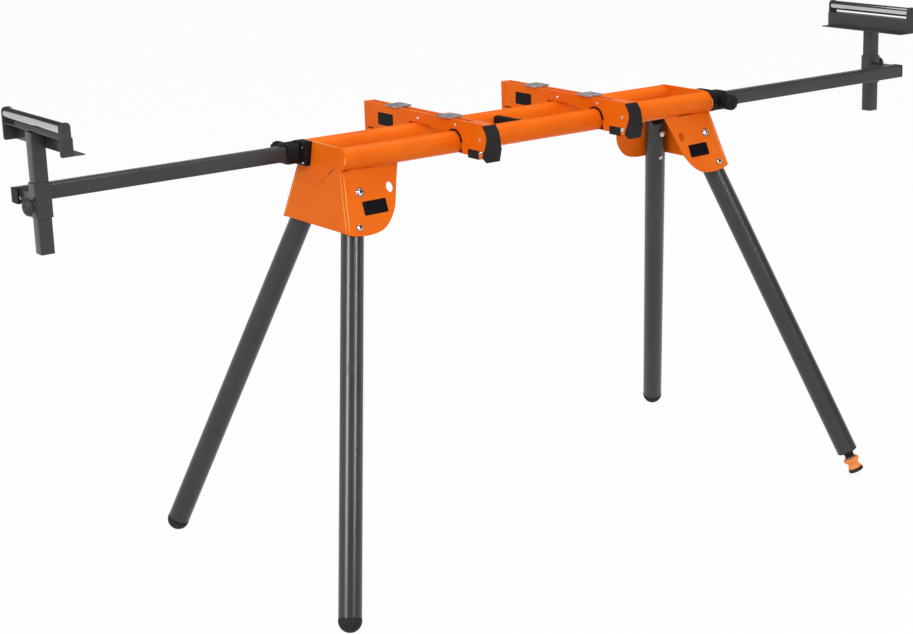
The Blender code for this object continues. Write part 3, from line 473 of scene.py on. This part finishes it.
def label_plate(name, height, middle, right, up):
    """Bare label plate of a height, with round corners."""
    return slab(name, LABEL_WIDTH, height, LABEL_CORNER, LABEL_THICKNESS, SLAB_EDGE, middle, right,
                up)


def rounded_copy(node, body, finish, width, flat=True):
    """Merged copy of a frame node with its edges rounded, which replaces that node.

    A curved piece keeps flat off, so that its facets run into each other.
    """
    mesh = nodes[node].data.copy()
    mesh.name = node + "_rounded"
    for layer in ("custom_normal", "sharp_edge", "sharp_face"):
        if layer in mesh.attributes:
            mesh.attributes.remove(mesh.attributes[layer])
    shell = bmesh.new()
    shell.from_mesh(mesh)
    bmesh.ops.remove_doubles(shell, verts=shell.verts, dist=2e-6)
    bmesh.ops.dissolve_limit(shell, angle_limit=math.radians(1.0), verts=shell.verts,
                             edges=shell.edges)
    shell.to_mesh(mesh)
    shell.free()
    mesh.shade_smooth()
    mesh.set_sharp_from_angle(angle=math.radians(SHARP_ANGLE))
    piece = stand_in(node + "_dressed", mesh, body, finish, node)
    if width:
        rounding = piece.modifiers.new("rounded_edges", "BEVEL")
        rounding.width = width
        rounding.segments = 3
        rounding.limit_method = "ANGLE"
        rounding.angle_limit = math.radians(ROUNDED_ANGLE)
        rounding.harden_normals = flat


# Beam, hubs and legs

def leg_ways(side, end):
    """Pivot of a leg, its open direction and the outward normal of its hub flange."""
    open_way = unit((side * LEG_SPLAY[0], end * LEG_SPLAY[1], -1))
    turn = math.radians(FOLD_TURN[side])
    folded = np.array([-side * math.cos(turn), -end * math.sin(turn), 0.0])
    axis = unit(np.cross(open_way, folded))
    outward = axis if axis[1] * end > 0 else -axis
    return np.array([side * LEG_PIVOT[0], end * LEG_PIVOT[1], LEG_PIVOT[2]]), open_way, outward


def plate_x(z):
    """How far an end plate's outer face is from the middle, at a height."""
    return HUB_X - HUB_SLOPE * (z - HUB_Z)


def flange_spot(side, end, x, z):
    """Place on a flange's outer face above a point along the beam, at a height."""
    pivot, _, outward = leg_ways(side, end)
    face = pivot + FLANGE_FACE * outward
    y = face[1] - (outward[0] * (x - face[0]) + outward[2] * (z - face[2])) / outward[1]
    return np.array([x, y, z])


def beam_tube(name, y):
    """Beam tube: rings of the outer and the inner radius, mitred by the sloping end plates.

    x = +-(plate_x(z) - seat - inset), with z = beam_z + r sin a of the point itself.
    """
    angle = full_turn(96)[None, :]
    chamfer = 0.0003
    rows = np.array([(TUBE_R - chamfer, -1, 0.0), (TUBE_R, -1, chamfer), (TUBE_R, 1, chamfer),
                     (TUBE_R - chamfer, 1, 0.0), (BORE_R, 1, 0.0), (BORE_R, -1, 0.0)])
    r, way, inset = rows[:, :1], rows[:, 1:2], rows[:, 2:]
    depth, z = y + r * np.cos(angle), BEAM_Z + r * np.sin(angle)
    seat = (SHEET + GAP) * math.hypot(1, HUB_SLOPE)
    x = way * (plate_x(z) - seat - inset)
    return surface(name, np.stack([x, depth, z], -1), loop_rows=True)


def leg_tube(name, pivot, way, outward, length, span=5, sides=96):
    """Leg tube: point = pivot + h way + r (cos a n + sin a m), n the flange's normal, m = way x n.

    At the button's hole a square of cells is taken out of both walls. Its edge is moved to the
    circle r sin a = R cos b, h = reach + R sin b, and the two edges are joined.
    """
    steps = np.arange(-span, span + 1)
    near = BUTTON_REACH + BUTTON_HOLE * steps / span
    chamfer = 0.0004
    wall = ([(TUBE_R - chamfer, -LEG_TOP), (TUBE_R, chamfer - LEG_TOP)]
            + [(TUBE_R, spot) for spot in near]
            + [(TUBE_R, length - chamfer), (TUBE_R - chamfer, length), (BORE_R, length)]
            + [(BORE_R, spot) for spot in near[::-1]] + [(BORE_R, -LEG_TOP)])
    r, h = [np.array(column)[:, None] + np.zeros((1, sides)) for column in zip(*wall)]
    angle = np.zeros_like(r) + (np.arange(sides) - span) * math.tau / sides
    blocks = ((2, 1), (len(steps) + 5, -1))
    for first, rising in blocks:
        block = (slice(first, first + len(steps)), slice(0, len(steps)))
        up, over = np.meshgrid(rising * steps, steps, indexing="ij")
        edge = np.maximum(abs(up), abs(over)) == span
        turn = np.arctan2(up, over)
        moved = np.arcsin(BUTTON_HOLE * np.cos(turn) / r[block])
        angle[block] = np.where(edge, moved, angle[block])
        h[block] = np.where(edge, BUTTON_REACH + BUTTON_HOLE * np.sin(turn), h[block])
    aside = np.cross(way, outward)
    grid = pivot + h[..., None] * way + r[..., None] * (np.cos(angle)[..., None] * outward
                                                        + np.sin(angle)[..., None] * aside)
    mesh = surface(name, grid, loop_rows=True)
    shell = bmesh.new()
    shell.from_mesh(mesh)
    shell.faces.ensure_lookup_table()
    gone = [shell.faces[(first + i) * sides + j]
            for first, _ in blocks for i in range(2 * span) for j in range(2 * span)]
    bmesh.ops.delete(shell, geom=gone, context="FACES")
    bmesh.ops.bridge_loops(shell, edges=[line for line in shell.edges if line.is_boundary])
    bmesh.ops.recalc_face_normals(shell, faces=shell.faces)
    shell.to_mesh(mesh)
    shell.free()
    mesh.set_sharp_from_angle(angle=math.radians(SHARP_ANGLE))
    return mesh


def foot_plug(name, pivot, way):
    """Rubber plug: a shank, a collar and a round end r = R cos a, h = centre + R sin a.

    The round end is flat where it meets the floor.
    """
    turn = np.linspace(0, math.pi / 2, 16)
    dome = list(zip(PLUG_R * np.cos(turn), PLUG_CENTRE + PLUG_R * np.sin(turn)))
    top, seat, chamfer = PLUGGED_LEG - PLUG_SHANK, PLUGGED_LEG + GAP, 0.0006
    shank = [(0, top), (BORE_R - GAP, top), (BORE_R - GAP, seat), (PLUG_R - chamfer, seat),
             (PLUG_R, seat + chamfer)]
    return turned(name, shank + dome, pivot, way, 0, 72, floor=True)


def hex_socket(r, angle, rim=0.0045):
    """Share of the radius that turns a circle inside the socket's rim into a hexagon."""
    folded = (angle + math.pi / 6) % (math.pi / 3) - math.pi / 6
    hexagon = math.cos(math.pi / 6) / np.cos(folded)
    return np.where(r < rim, hexagon, 1.0)


def pivot_bolt(name, pivot, outward):
    """Leg bolt: washer, domed head with a hexagonal socket, shank, and a nut on the inside."""
    face, inner = FLANGE_FACE + GAP, -(TUBE_R + LEG_GAP + GAP)
    washer, nut = face + 0.0012, inner - 0.0065
    head_r, washer_r, shank_r, nut_r = 0.0068, 0.0085, 0.004, 0.0065
    turn = np.radians([28, 40, 55, 70, 84])
    dome = [(head_r * math.sin(t), washer + 0.0036 * math.cos(t)) for t in turn]
    profile = ([(0, face + 0.0018), (0.0027, face + 0.0018), (0.0029, face + 0.0041)] + dome
               + [(head_r, washer), (washer_r, washer), (washer_r, face), (shank_r, face),
                  (shank_r, inner), (nut_r, inner), (nut_r, nut), (shank_r, nut),
                  (shank_r, nut - 0.0012), (0, nut - 0.0012)])
    return turned(name, profile, pivot, outward, 0.0002, 60, hex_socket)


def socket_shade(name, pivot, outward, radius=0.0026):
    """Black floor of the bolt's socket, as painted shade of the recess: a low dish r = R sin a, h =
    0.3 mm (1 - cos a).
    """
    face = FLANGE_FACE + GAP + 0.0018
    turn = np.linspace(0, math.pi / 2, 6)
    dish = list(zip(radius * np.sin(turn), face + 0.0004 + 0.0003 * (1 - np.cos(turn))))
    return turned(name, dish + [(radius, face + 0.0001), (0, face + 0.0001)], pivot, outward, 0, 36)


def detent_button(name, pivot, open_way, outward, radius=0.006, crown=0.0015):
    """Sprung button: a round pin under a low crown r = R sin a, h = top - crown (1 - cos a)."""
    top, foot = FLANGE_FACE + 0.004, TUBE_R + GAP
    turn = np.linspace(0, math.pi / 2, 10)
    profile = list(zip(radius * np.sin(turn), top - crown + crown * np.cos(turn)))
    profile += [(radius, foot), (0, foot)]
    return turned(name, profile, pivot + BUTTON_REACH * open_way, outward, 0, 48)


def dress_leg(name, side, end):
    """A leg with its bolt, detent button, inner rivet and foot plug."""
    pivot, open_way, outward = leg_ways(side, end)
    leg = name + "_leg"
    levelled = side > 0 and end < 0
    tube = leg_tube(name + "_tube", pivot, open_way, outward,
                    FOOT_LEG if levelled else PLUGGED_LEG)
    stand_in(leg + "_dressed", tube, leg, CHARCOAL, leg)
    bolt = pivot_bolt(name + "_bolt", pivot, outward)
    stand_in(name + "_pivot_bolt_dressed", bolt, "beam", ZINC, name + "_pivot_bolt")
    # A black dish of painted shade in the bolt's socket.
    socket = socket_shade(name + "_socket", pivot, outward)
    stand_in(name + "_socket_shade", socket, "beam", BLACK)
    button = detent_button(name + "_pin", pivot, open_way, outward)
    stand_in(name + "_button_dressed", button, name + "_button", ZINC, name + "_detent_button")
    inside = pivot + LEG_RIVET_REACH * open_way - LEG_RIVET_DEPTH * outward
    dot = rivet(name + "_rivet", inside, -outward, *LEG_RIVET)
    stand_in(name + "_leg_rivet", dot, leg, ZINC)
    if not levelled:
        plug = foot_plug(name + "_plug", pivot, open_way)
        stand_in(name + "_plug_dressed", plug, leg, RUBBER, name + "_foot_plug")


def trim_flange(name, side, end):
    """Lines of a hub flange: painted shade in the seams of its top, painted highlight on the tube's
    weld and on the bend's two edges.
    """
    _, _, outward = leg_ways(side, end)
    # The seams at the flange top get thin black lines of painted shade.
    for number, span in enumerate(SEAM_SPANS):
        ends = [flange_spot(side, end, side * x, SEAM_Z) + 0.0001 * outward for x in span]
        line = seam(f"{name}_gap_{number}", *ends, SEAM_R)
        stand_in(f"{name}_gap_shade_{number}", line, "beam", BLACK)
    edge_x, edge_y = plate_x(BEAM_Z - WELD_HALF) - 0.0015, TUBE_Y + TUBE_R - WELD_INSET
    ends = [(side * (edge_x - 0.001 * step), end * edge_y, BEAM_Z + WELD_HALF * step)
            for step in (-1, 1)]
    # The weld bead is painted in the pale orange of a painted highlight.
    weld = weld_bead(name + "_tube_bead", *ends, WELD_R)
    stand_in(name + "_tube_weld_highlight", weld, "beam", ORANGE_HIGHLIGHT)
    low, high = [flange_spot(side, end, side * plate_x(z), z) for z in (BEND_LOW, BEND_HIGH)]
    middle = np.multiply(HUB_MIDDLE, (side, 1, 1))
    # Two pale orange lines of painted highlight mark the edges of the fold.
    for part, normal in (("plate", unit((side, 0, HUB_SLOPE))), ("flange", outward)):
        inward = unit(np.cross(normal, high - low))
        inward *= FOLD_RADIUS * np.sign(inward @ (middle - low))
        line = seam(f"{name}_{part}_bend", low + inward, high + inward, SEAM_R)
        stand_in(f"{name}_{part}_bend_highlight", line, "beam", ORANGE_HIGHLIGHT)


for word, end in ENDS.items():
    tube = beam_tube(word + "_beam_skin", end * TUBE_Y)
    stand_in(word + "_beam_tube_dressed", tube, "beam", ORANGE, word + "_beam_tube")

for hand, side in SIDES.items():
    rounded_copy(hand + "_hub_bracket", "beam", ORANGE, 0.0006)
    rim_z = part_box(hand + "_hub_bracket")[1].z
    rim_x = side * plate_x(rim_z)
    # A pale orange line of painted highlight along the end plate's lit top edge.
    rim = seam(hand + "_rim_line", (rim_x, -TUBE_Y, rim_z), (rim_x, TUBE_Y, rim_z), SEAM_R)
    stand_in(hand + "_rim_highlight", rim, "beam", ORANGE_HIGHLIGHT)
    for word, end in ENDS.items():
        dress_leg(f"{hand}_{word}", side, end)
        trim_flange(f"{hand}_{word}", side, end)
    # The crease in each end plate is a thin black line of painted shade, thinning into a tail.
    crease = [(side * x, side * y, z) for x, y, z in CREASE]
    line = seam(hand + "_crease", *crease[:2], CREASE_R)
    tail = seam(hand + "_tail", *crease[1:], CREASE_TAIL_R)
    stand_in(hand + "_crease_shade", line, "beam", BLACK)
    stand_in(hand + "_crease_shade_tail", tail, "beam", BLACK)


# Levelling foot

def scalloped(r, angle, depth=0.05, lobes=12):
    """Share of the radius: 1 - depth (1/2 + cos(n a)/2)^3, only on the two rims."""
    wave = (0.5 + 0.5 * np.cos(lobes * angle)) ** 3
    return 1 - depth * wave * np.clip((r - 0.0125) / 0.003, 0, 1)


def threaded_rod(name, origin, way, low, high, radius, depth=0.0009, pitch=0.003):
    """Screw: r = radius - depth |2 frac(h / pitch - a / 2 pi) - 1|, a helix of one start."""
    h = np.linspace(low, high, int((high - low) / pitch * 10))[:, None]
    angle = full_turn(40)[None, :]
    r = radius - depth * np.abs(2 * np.mod(h / pitch - angle / (2 * math.pi), 1) - 1)
    r = np.vstack([r[:1] * 0, r, r[-1:] * 0])
    h = np.vstack([h[:1], h, h[-1:]])
    u, v = across(way)
    grid = (np.asarray(origin, float) + h[..., None] * unit(way)
            + r[..., None] * (np.cos(angle)[..., None] * u + np.sin(angle)[..., None] * v))
    return surface(name, grid, sharp=60)


def levelling_foot():
    """Insert in the leg's end, screw, hand wheel and the pad that stands on the floor."""
    pivot, way, _ = leg_ways(1, -1)
    pad_top = PAD_FOOT - 0.0072
    wheel_low = pad_top - GAP
    wheel_top = wheel_low - WHEEL_TALL
    stem, plug_r, thread_r = wheel_top - 0.0026, BORE_R - GAP, 0.0053
    sleeve = [(thread_r, FOOT_LEG - 0.020), (plug_r, FOOT_LEG - 0.020), (plug_r, FOOT_LEG + GAP),
              (TUBE_R, FOOT_LEG + GAP), (TUBE_R, FOOT_LEG + 0.0012),
              (TUBE_R - 0.0014, FOOT_LEG + 0.0023), (0.0108, FOOT_LEG + 0.0023),
              (0.0100, FOOT_LEG + 0.0035), (0.0100, stem), (thread_r, stem),
              (thread_r, FOOT_LEG - 0.020)]
    insert = turned("foot_insert", sleeve, pivot, way, 0.0003)
    stand_in("foot_insert_dressed", insert, "right_front_leg", BLACK, "right_front_foot_insert")
    screw = threaded_rod("foot_thread", pivot, way, wheel_top - 0.030, wheel_low, 0.005)
    stand_in("foot_screw_dressed", screw, "foot_screw", ZINC, "right_front_foot_screw")
    shares = [(0.84, 0.0), (1.0, 0.12), (1.0, 0.30), (0.68, 0.50), (0.68, 0.72), (0.86, 0.94),
              (0.86, 1.0)]
    waist = [(WHEEL_R * wide, wheel_top + WHEEL_TALL * down) for wide, down in shares]
    rim = [(thread_r, wheel_top)] + waist + [(thread_r, wheel_low), (thread_r, wheel_top)]
    wheel = turned("foot_wheel", rim, pivot, way, 0.0007, 144, scalloped)
    stand_in("foot_wheel_dressed", wheel, "foot_wheel", ORANGE_PLASTIC, "right_front_foot_wheel")
    sole = [(0, pad_top), (0.0137, pad_top), (0.0155, pad_top + 0.0018),
            (0.0155, PAD_FOOT - 0.0009), (0.0146, PAD_FOOT), (0, PAD_FOOT)]
    pad = turned("foot_pad", sole, pivot, way, 0.0005, floor=True)
    stand_in("foot_pad_dressed", pad, "foot_screw", RUBBER, "right_front_foot_pad")


levelling_foot()


# Clamp knobs

def ribbing(radius, depth, start, width, ribs=14):
    """Share of the radius: 1 - depth (1/2 + cos(n a)/2)^2 at the rim, which fades inwards."""
    def share(r, angle):
        wave = (0.5 + 0.5 * np.cos(ribs * angle)) ** 2
        return 1 - depth * wave * np.clip((r - start * radius) / (width * radius), 0, 1)
    return share


def clamp_knob(name, origin, way, radius=0.01575, neck=0.0122, grip=0.020):
    """Arm knob: a ribbed grip, dished on top, on a neck with its screw."""
    top, neck_r, screw_r, screw = neck + grip, 0.0095, 0.004, 0.0100
    profile = [(0, top - 0.0010), (radius * 0.42, top - 0.0010), (radius * 0.50, top),
               (radius * 0.84, top), (radius, top - 0.0024), (radius, neck + 0.0022),
               (radius * 0.88, neck), (neck_r, neck), (neck_r, 0), (screw_r, 0),
               (screw_r, -screw), (0, -screw)]
    return turned(name, profile, origin, way, 0.0007, 168, ribbing(radius, 0.085, 0.7, 0.25))


def post_knob(name, origin, way, radius=0.0162):
    """Post knob: a ribbed rim under a dome r = 0.95 R cos a, h = 3.6 mm + 9.2 mm sin a."""
    neck_r, screw_r, screw = 0.009, 0.0035, 0.0075
    turn = np.linspace(0, math.pi / 2, 12)
    dome = list(zip(0.95 * radius * np.cos(turn), 0.0036 + 0.0092 * np.sin(turn)))[::-1]
    profile = dome + [(radius * 0.97, 0.0036), (radius, 0.0032), (radius, 0.0020),
                      (radius * 0.9, 0.0008), (neck_r, 0.0008), (neck_r, 0), (screw_r, 0),
                      (screw_r, -screw), (0, -screw)]
    return turned(name, profile, origin, way, 0.0003, 168, ribbing(radius, 0.06, 0.9, 0.1))


for hand, side in SIDES.items():
    seat = (side * ARM_KNOB_X, -side * (TUBE_Y + COLLAR_BOSS + GAP), BEAM_Z)
    knob = clamp_knob(hand + "_arm_grip", seat, (0, -side, 0))
    stand_in(hand + "_arm_knob_dressed", knob, hand + "_arm_knob", BLACK, hand + "_arm_knob")
    face = SUPPORT_X + SLEEVE_HALF + POST_BOSS + GAP
    seat = (side * face, 0, BEAM_Z + side * POST_KNOB_OFFSET)
    knob = post_knob(hand + "_post_grip", seat, (side, 0, 0))
    stand_in(hand + "_post_knob_dressed", knob, hand + "_post_knob", CAP_GREY,
             hand + "_post_knob")


# Arms, posts and roller heads

def roller_tube(name, spot, half, radius=0.0100, bore=0.0033, chamfer=0.0008):
    """Roller: its wall's profile turned about Y, with chamfered ends and a bore."""
    wall = [(bore, -half), (radius - chamfer, -half), (radius, chamfer - half),
            (radius, half - chamfer), (radius - chamfer, half), (bore, half), (bore, -half)]
    return turned(name, wall, spot, (0, 1, 0), 0.0002, 96)


def axle(name, spot, reach, radius=0.003, chamfer=0.0006):
    """Axle of the roller: a chamfered rod about Y."""
    rod = [(0, reach), (radius - chamfer, reach), (radius, reach - chamfer),
           (radius, chamfer - reach), (radius - chamfer, -reach), (0, -reach)]
    return turned(name, rod, (spot.x, 0, spot.z), (0, 1, 0), 0.0002, 32)


def cap_blind(name, spot, end, face, radius=0.0033, rise=0.0012):
    """Low round blind on a head cap, where the axle ends."""
    disc = [(0, rise), (radius - 0.0003, rise), (radius, rise - 0.0004), (radius, 0), (0, 0)]
    return turned(name, disc, (spot.x, end * face, spot.z), (0, end, 0), 0.0002, 32)


for hand, side in SIDES.items():
    arm, post, roller = hand + "_arm", hand + "_post", hand + "_roller"
    rounded_copy(arm, arm, CHARCOAL, 0)
    rounded_copy(arm + "_plug", arm, BLACK, 0.0008)
    rounded_copy(hand + "_post_sleeve", arm, CHARCOAL, 0.0004)
    rounded_copy(post, post, CHARCOAL, 0)
    rounded_copy(hand + "_head_channel", post, CHARCOAL, 0.0007)
    low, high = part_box(hand + "_roller")
    spot, half = (low + high) / 2, (high.y - low.y) / 2
    for word, end in ENDS.items():
        cap = f"{hand}_{word}_head_cap"
        rounded_copy(cap, post, CAP_GREY, 0.0009)
        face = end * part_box(cap)[0 if end < 0 else 1].y - 0.0015
        blind = cap_blind(f"{hand}_{word}_blind", spot, end, face)
        stand_in(f"{hand}_{word}_cap_blind", blind, post, CAP_GREY)
    skin = roller_tube(hand + "_roller_skin", spot, half)
    stand_in(hand + "_roller_dressed", skin, roller, ROLLER_STEEL, roller)
    shaft = axle(hand + "_axle_skin", spot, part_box(hand + "_roller_axle")[1].y - 0.0022)
    stand_in(hand + "_axle_dressed", shaft, post, ZINC, hand + "_roller_axle")
    rounded_copy(hand + "_collar", "beam", BLACK, 0.0008)
    collar_x = side * (plate_x(BEAM_Z) + COLLAR_DEPTH)
    for number, z in enumerate(COLLAR_RIVET_HEIGHTS):
        place = (collar_x, -side * COLLAR_RIVET_Y, z)
        dot = rivet(f"{hand}_collar_dot_{number}", place, (side, 0, 0), *COLLAR_RIVET)
        stand_in(f"{hand}_collar_rivet_{number}", dot, "beam", ZINC)
    place = (side * STUB_RIVET_X, -side * (TUBE_Y - ARM_HALF), STUB_RIVET_Z)
    dot = rivet(hand + "_stub_dot", place, (0, side, 0), *STUB_RIVET)
    stand_in(hand + "_stub_screw", dot, arm, ZINC)


# Saw brackets

def arch_liner(name, x):
    """Black liner of the arch: its closed section of (r, x) carried round the tube.

    Point (i, j) = (x + s_j, tube_y + r_ij cos a_i, beam_z + r_ij sin a_i), with both ends closed.
    The lip's radius grows by 2.2 mm max(0, -cos a) towards the front.
    """
    r_in, r_out, lip, wide, half = 0.0217, 0.0245, 0.0248, 0.0132, SADDLE_HALF + GAP
    section = np.array([(r_in, -wide), (lip, -wide), (lip, -half), (r_out, -half), (r_out, half),
                        (lip, half), (lip, wide), (r_in, wide)])
    closing = np.broadcast_to(section.mean(0), (1, 8, 2))
    rings = np.concatenate([closing, np.broadcast_to(section, (40, 8, 2)), closing])
    angle = np.radians(np.linspace(4, 176, 40))[:, None]
    angle = np.vstack([angle[:1], angle, angle[-1:]])
    r, s = rings[..., 0], rings[..., 1]
    r = r + np.where(r >= lip, 0.0022 * np.maximum(-np.cos(angle), 0), 0)
    grid = np.stack([x + s, -TUBE_Y + r * np.cos(angle), BEAM_Z + r * np.sin(angle)], -1)
    return surface(name, grid)


def lever_pin(name, x):
    """Pin of the clamp lever: a shank along X between two low heads."""
    half, head_r, shank_r = SADDLE_HALF + GAP, 0.0045, 0.0025
    head = half + 0.0016
    pin = [(0, head), (0.0036, head), (head_r, half + 0.0008), (head_r, half), (shank_r, half),
           (shank_r, -half), (head_r, -half), (head_r, -half - 0.0008), (0.0036, -head),
           (0, -head)]
    return turned(name, pin, (x, PIN_Y, PIN_Z), (1, 0, 0), 0.0002, 40)


for hand, x in SADDLE_X.items():
    saddle = hand + "_bracket"
    rounded_copy(hand + "_saw_bracket", saddle, ORANGE, 0.0005)
    rounded_copy(hand + "_clamp_lever", hand + "_lever", GREY_BLACK, 0.0012, flat=False)
    inner = (x - WINDOW_DEPTH / 2, WINDOW_Y, WINDOW_Z)
    window = slab(hand + "_window_fill", WINDOW_WIDTH, WINDOW_HEIGHT, WINDOW_CORNER, WINDOW_DEPTH,
                  SLAB_EDGE, inner, (0, 1, 0), (0, 0, 1))
    stand_in(hand + "_window_plug", window, saddle, BLACK)
    rounded_copy(hand + "_clamp_jaw", hand + "_jaw", GREY_BLACK, 0.0007)
    for word in ("rear", "front"):
        rounded_copy(f"{hand}_{word}_saw_pad", f"{hand}_{word}_pad", PAD_STEEL, 0.0006)
    stand_in(hand + "_pin_dressed", lever_pin(hand + "_pin_skin", x), saddle, ZINC,
             hand + "_lever_pin")
    stand_in(hand + "_arch_liner", arch_liner(hand + "_liner", x), saddle, BLACK)
    for face, word in ((-1, "near"), (1, "far")):
        for number, (y, z) in enumerate(SADDLE_RIVET_SPOTS):
            place = (x + face * SADDLE_HALF, y, z)
            dot = rivet(f"{hand}_dot", place, (face, 0, 0), *SADDLE_RIVET)
            stand_in(f"{hand}_saddle_rivet_{number}_{word}", dot, saddle, ZINC)
    middle = (x - SADDLE_HALF, SADDLE_LABEL_Y, SADDLE_LABEL_Z)
    plate = label_plate(hand + "_saddle_label", SADDLE_LABEL_HEIGHT, middle, (0, -1, 0), (0, 0, 1))
    stand_in(hand + "_saddle_plate", plate, saddle, PLATE_BLACK)


# Hub labels and the carry handle

for hand, side in SIDES.items():
    _, _, outward = leg_ways(side, -1)
    middle = flange_spot(side, -1, side * HUB_LABEL_X, HUB_LABEL_Z)
    right = unit(np.cross((0, 0, 1), outward))
    plate = label_plate(hand + "_hub_label", HUB_LABEL_HEIGHT, middle, right,
                        np.cross(outward, right))
    stand_in(hand + "_hub_plate", plate, "beam", PLATE_BLACK)
rounded_copy("carry_handle", "beam", BLACK, 0.0012)


# Stage, light and camera

def pale_floor(half=30, glow_share=0.96):
    """Wide pale floor: mostly its own white to the camera and in reflections, with a shadow."""
    corners = [[(-half, -half, 0), (half, -half, 0)], [(-half, half, 0), (half, half, 0)]]
    mesh = surface("floor_sheet", np.array(corners, float), loop_columns=False)
    floor = bpy.data.objects.new("pale_floor", mesh)
    bpy.context.scene.collection.objects.link(floor)
    paint = Paint("pale_floor_white", Roughness=0.9)
    cloud = paint.noise(3, 2).rise(0.3, 0.7)
    paint.feed(paint.shader.inputs["Base Color"],
               paint.blend(cloud, (0.80, 0.80, 0.80, 1), (0.83, 0.83, 0.83, 1)))
    seen, mirrored, through = paint.rays()
    white = paint.maths("MAXIMUM", paint.maths("MAXIMUM", seen, mirrored), through)
    glow = paint.node("Emission", None, {"Color": (1, 1, 1, 1), "Strength": 1.0})
    lit = Value(paint, paint.shader.outputs[0])
    mixed = paint.node("MixShader", None, {0: white * glow_share, 1: lit, 2: glow})
    paint.feed(paint.tree.nodes["Material Output"].inputs["Surface"], mixed)
    mesh.materials.append(paint.material)


def studio_world():
    """White to the camera, a plain soft grey as light, and white with a dark card in reflections.

    The card is the part of the sky above the horizon and off the X axis, away from the beam's left
    end or high up: the smooth masks z > 0.12, |y| > 0.2 and x > -0.25 or z > 0.36 of the ray.
    """
    world = bpy.data.worlds.new("studio_white")
    bpy.context.scene.world = world
    world.use_nodes = True
    sky = Nodes(world.node_tree)
    seen, mirrored, through = sky.rays()
    way = sky.node("TexCoord", output=0)
    x, y, z = [sky.node("SeparateXYZ", None, {0: way}, output=number) for number in range(3)]
    aside = sky.maths("ABSOLUTE", y, 0.0)
    beyond = sky.maths("MAXIMUM", x.rise(-0.29, -0.21), z.rise(0.33, 0.39))
    card = z.rise(0.09, 0.15) * aside.rise(0.15, 0.25) * beyond
    clear = sky.maths("MAXIMUM", seen, through)
    strength = mirrored * (1 - 0.93 * card) + (1 - mirrored) * 0.46
    backing = sky.tree.nodes["Background"]
    sky.feed(backing.inputs["Color"], (1, 1, 1, 1))
    sky.feed(backing.inputs["Strength"], sky.maths("MAXIMUM", clear, strength))


def soft_lamp(name, spot, aim, size, watts, tall=None, mirrored=True):
    """Soft box at a spot, turned to what it lights: a square, or a strip that is tall.

    A strip only shows in reflections, and a box that isn't mirrored only gives light.
    """
    lamp = bpy.data.lights.new(name, "AREA")
    lamp.shape = "RECTANGLE" if tall else "SQUARE"
    lamp.size = size
    lamp.size_y = tall or size
    lamp.energy = watts
    made = bpy.data.objects.new(name, lamp)
    made.location = spot
    made.rotation_euler = (Vector(aim) - Vector(spot)).to_track_quat("-Z", "Y").to_euler()
    made.visible_diffuse = tall is None
    made.visible_glossy = mirrored
    bpy.context.scene.collection.objects.link(made)


def photo_camera():
    """Camera at the photograph's place: its axes are the columns right, up and back."""
    spot, focal_pixels, frame_pixels = (-2.3090, -3.0928, 1.4602), 1983.5, 913
    yaw, pitch, roll = np.radians([34.872, 15.4018, -1.9503])
    ahead = np.array([math.sin(yaw) * math.cos(pitch), math.cos(yaw) * math.cos(pitch),
                      -math.sin(pitch)])
    level = np.array([math.cos(yaw), -math.sin(yaw), 0.0])
    upright = np.cross(level, ahead)
    right = math.cos(roll) * level + math.sin(roll) * upright
    up = -math.sin(roll) * level + math.cos(roll) * upright
    lens = bpy.data.cameras.new("photo_lens")
    lens.sensor_fit = "HORIZONTAL"
    lens.sensor_width = 36.0
    lens.lens = focal_pixels / frame_pixels * 36
    lens.clip_start = 0.05
    lens.clip_end = 100
    camera = bpy.data.objects.new("photo_camera", lens)
    turn = Matrix(np.column_stack([right, up, -ahead]).tolist())
    camera.matrix_world = Matrix.Translation(spot) @ turn.to_4x4()
    bpy.context.scene.collection.objects.link(camera)
    bpy.context.scene.camera = camera


pale_floor()
studio_world()
stand_middle, left_legs = (0, 0, 0.6), (-0.55, -0.2, 0.4)
soft_lamp("key_box", (-3.2, -2.6, 3.4), stand_middle, 2.0, 95, mirrored=False)
soft_lamp("top_box", (0.4, 0.6, 3.8), stand_middle, 2.6, 54)
soft_lamp("fill_box", (3.4, -2.4, 1.8), stand_middle, 2.4, 26, mirrored=False)
soft_lamp("left_strip", (-4.45, -1.1, 2.75), left_legs, 1.2, 178, 1.9)
soft_lamp("right_strip", (0.4, -4.2, 2.75), left_legs, 0.9, 150, 1.9)
photo_camera()
bpy.context.scene.view_settings.view_transform = "Standard"
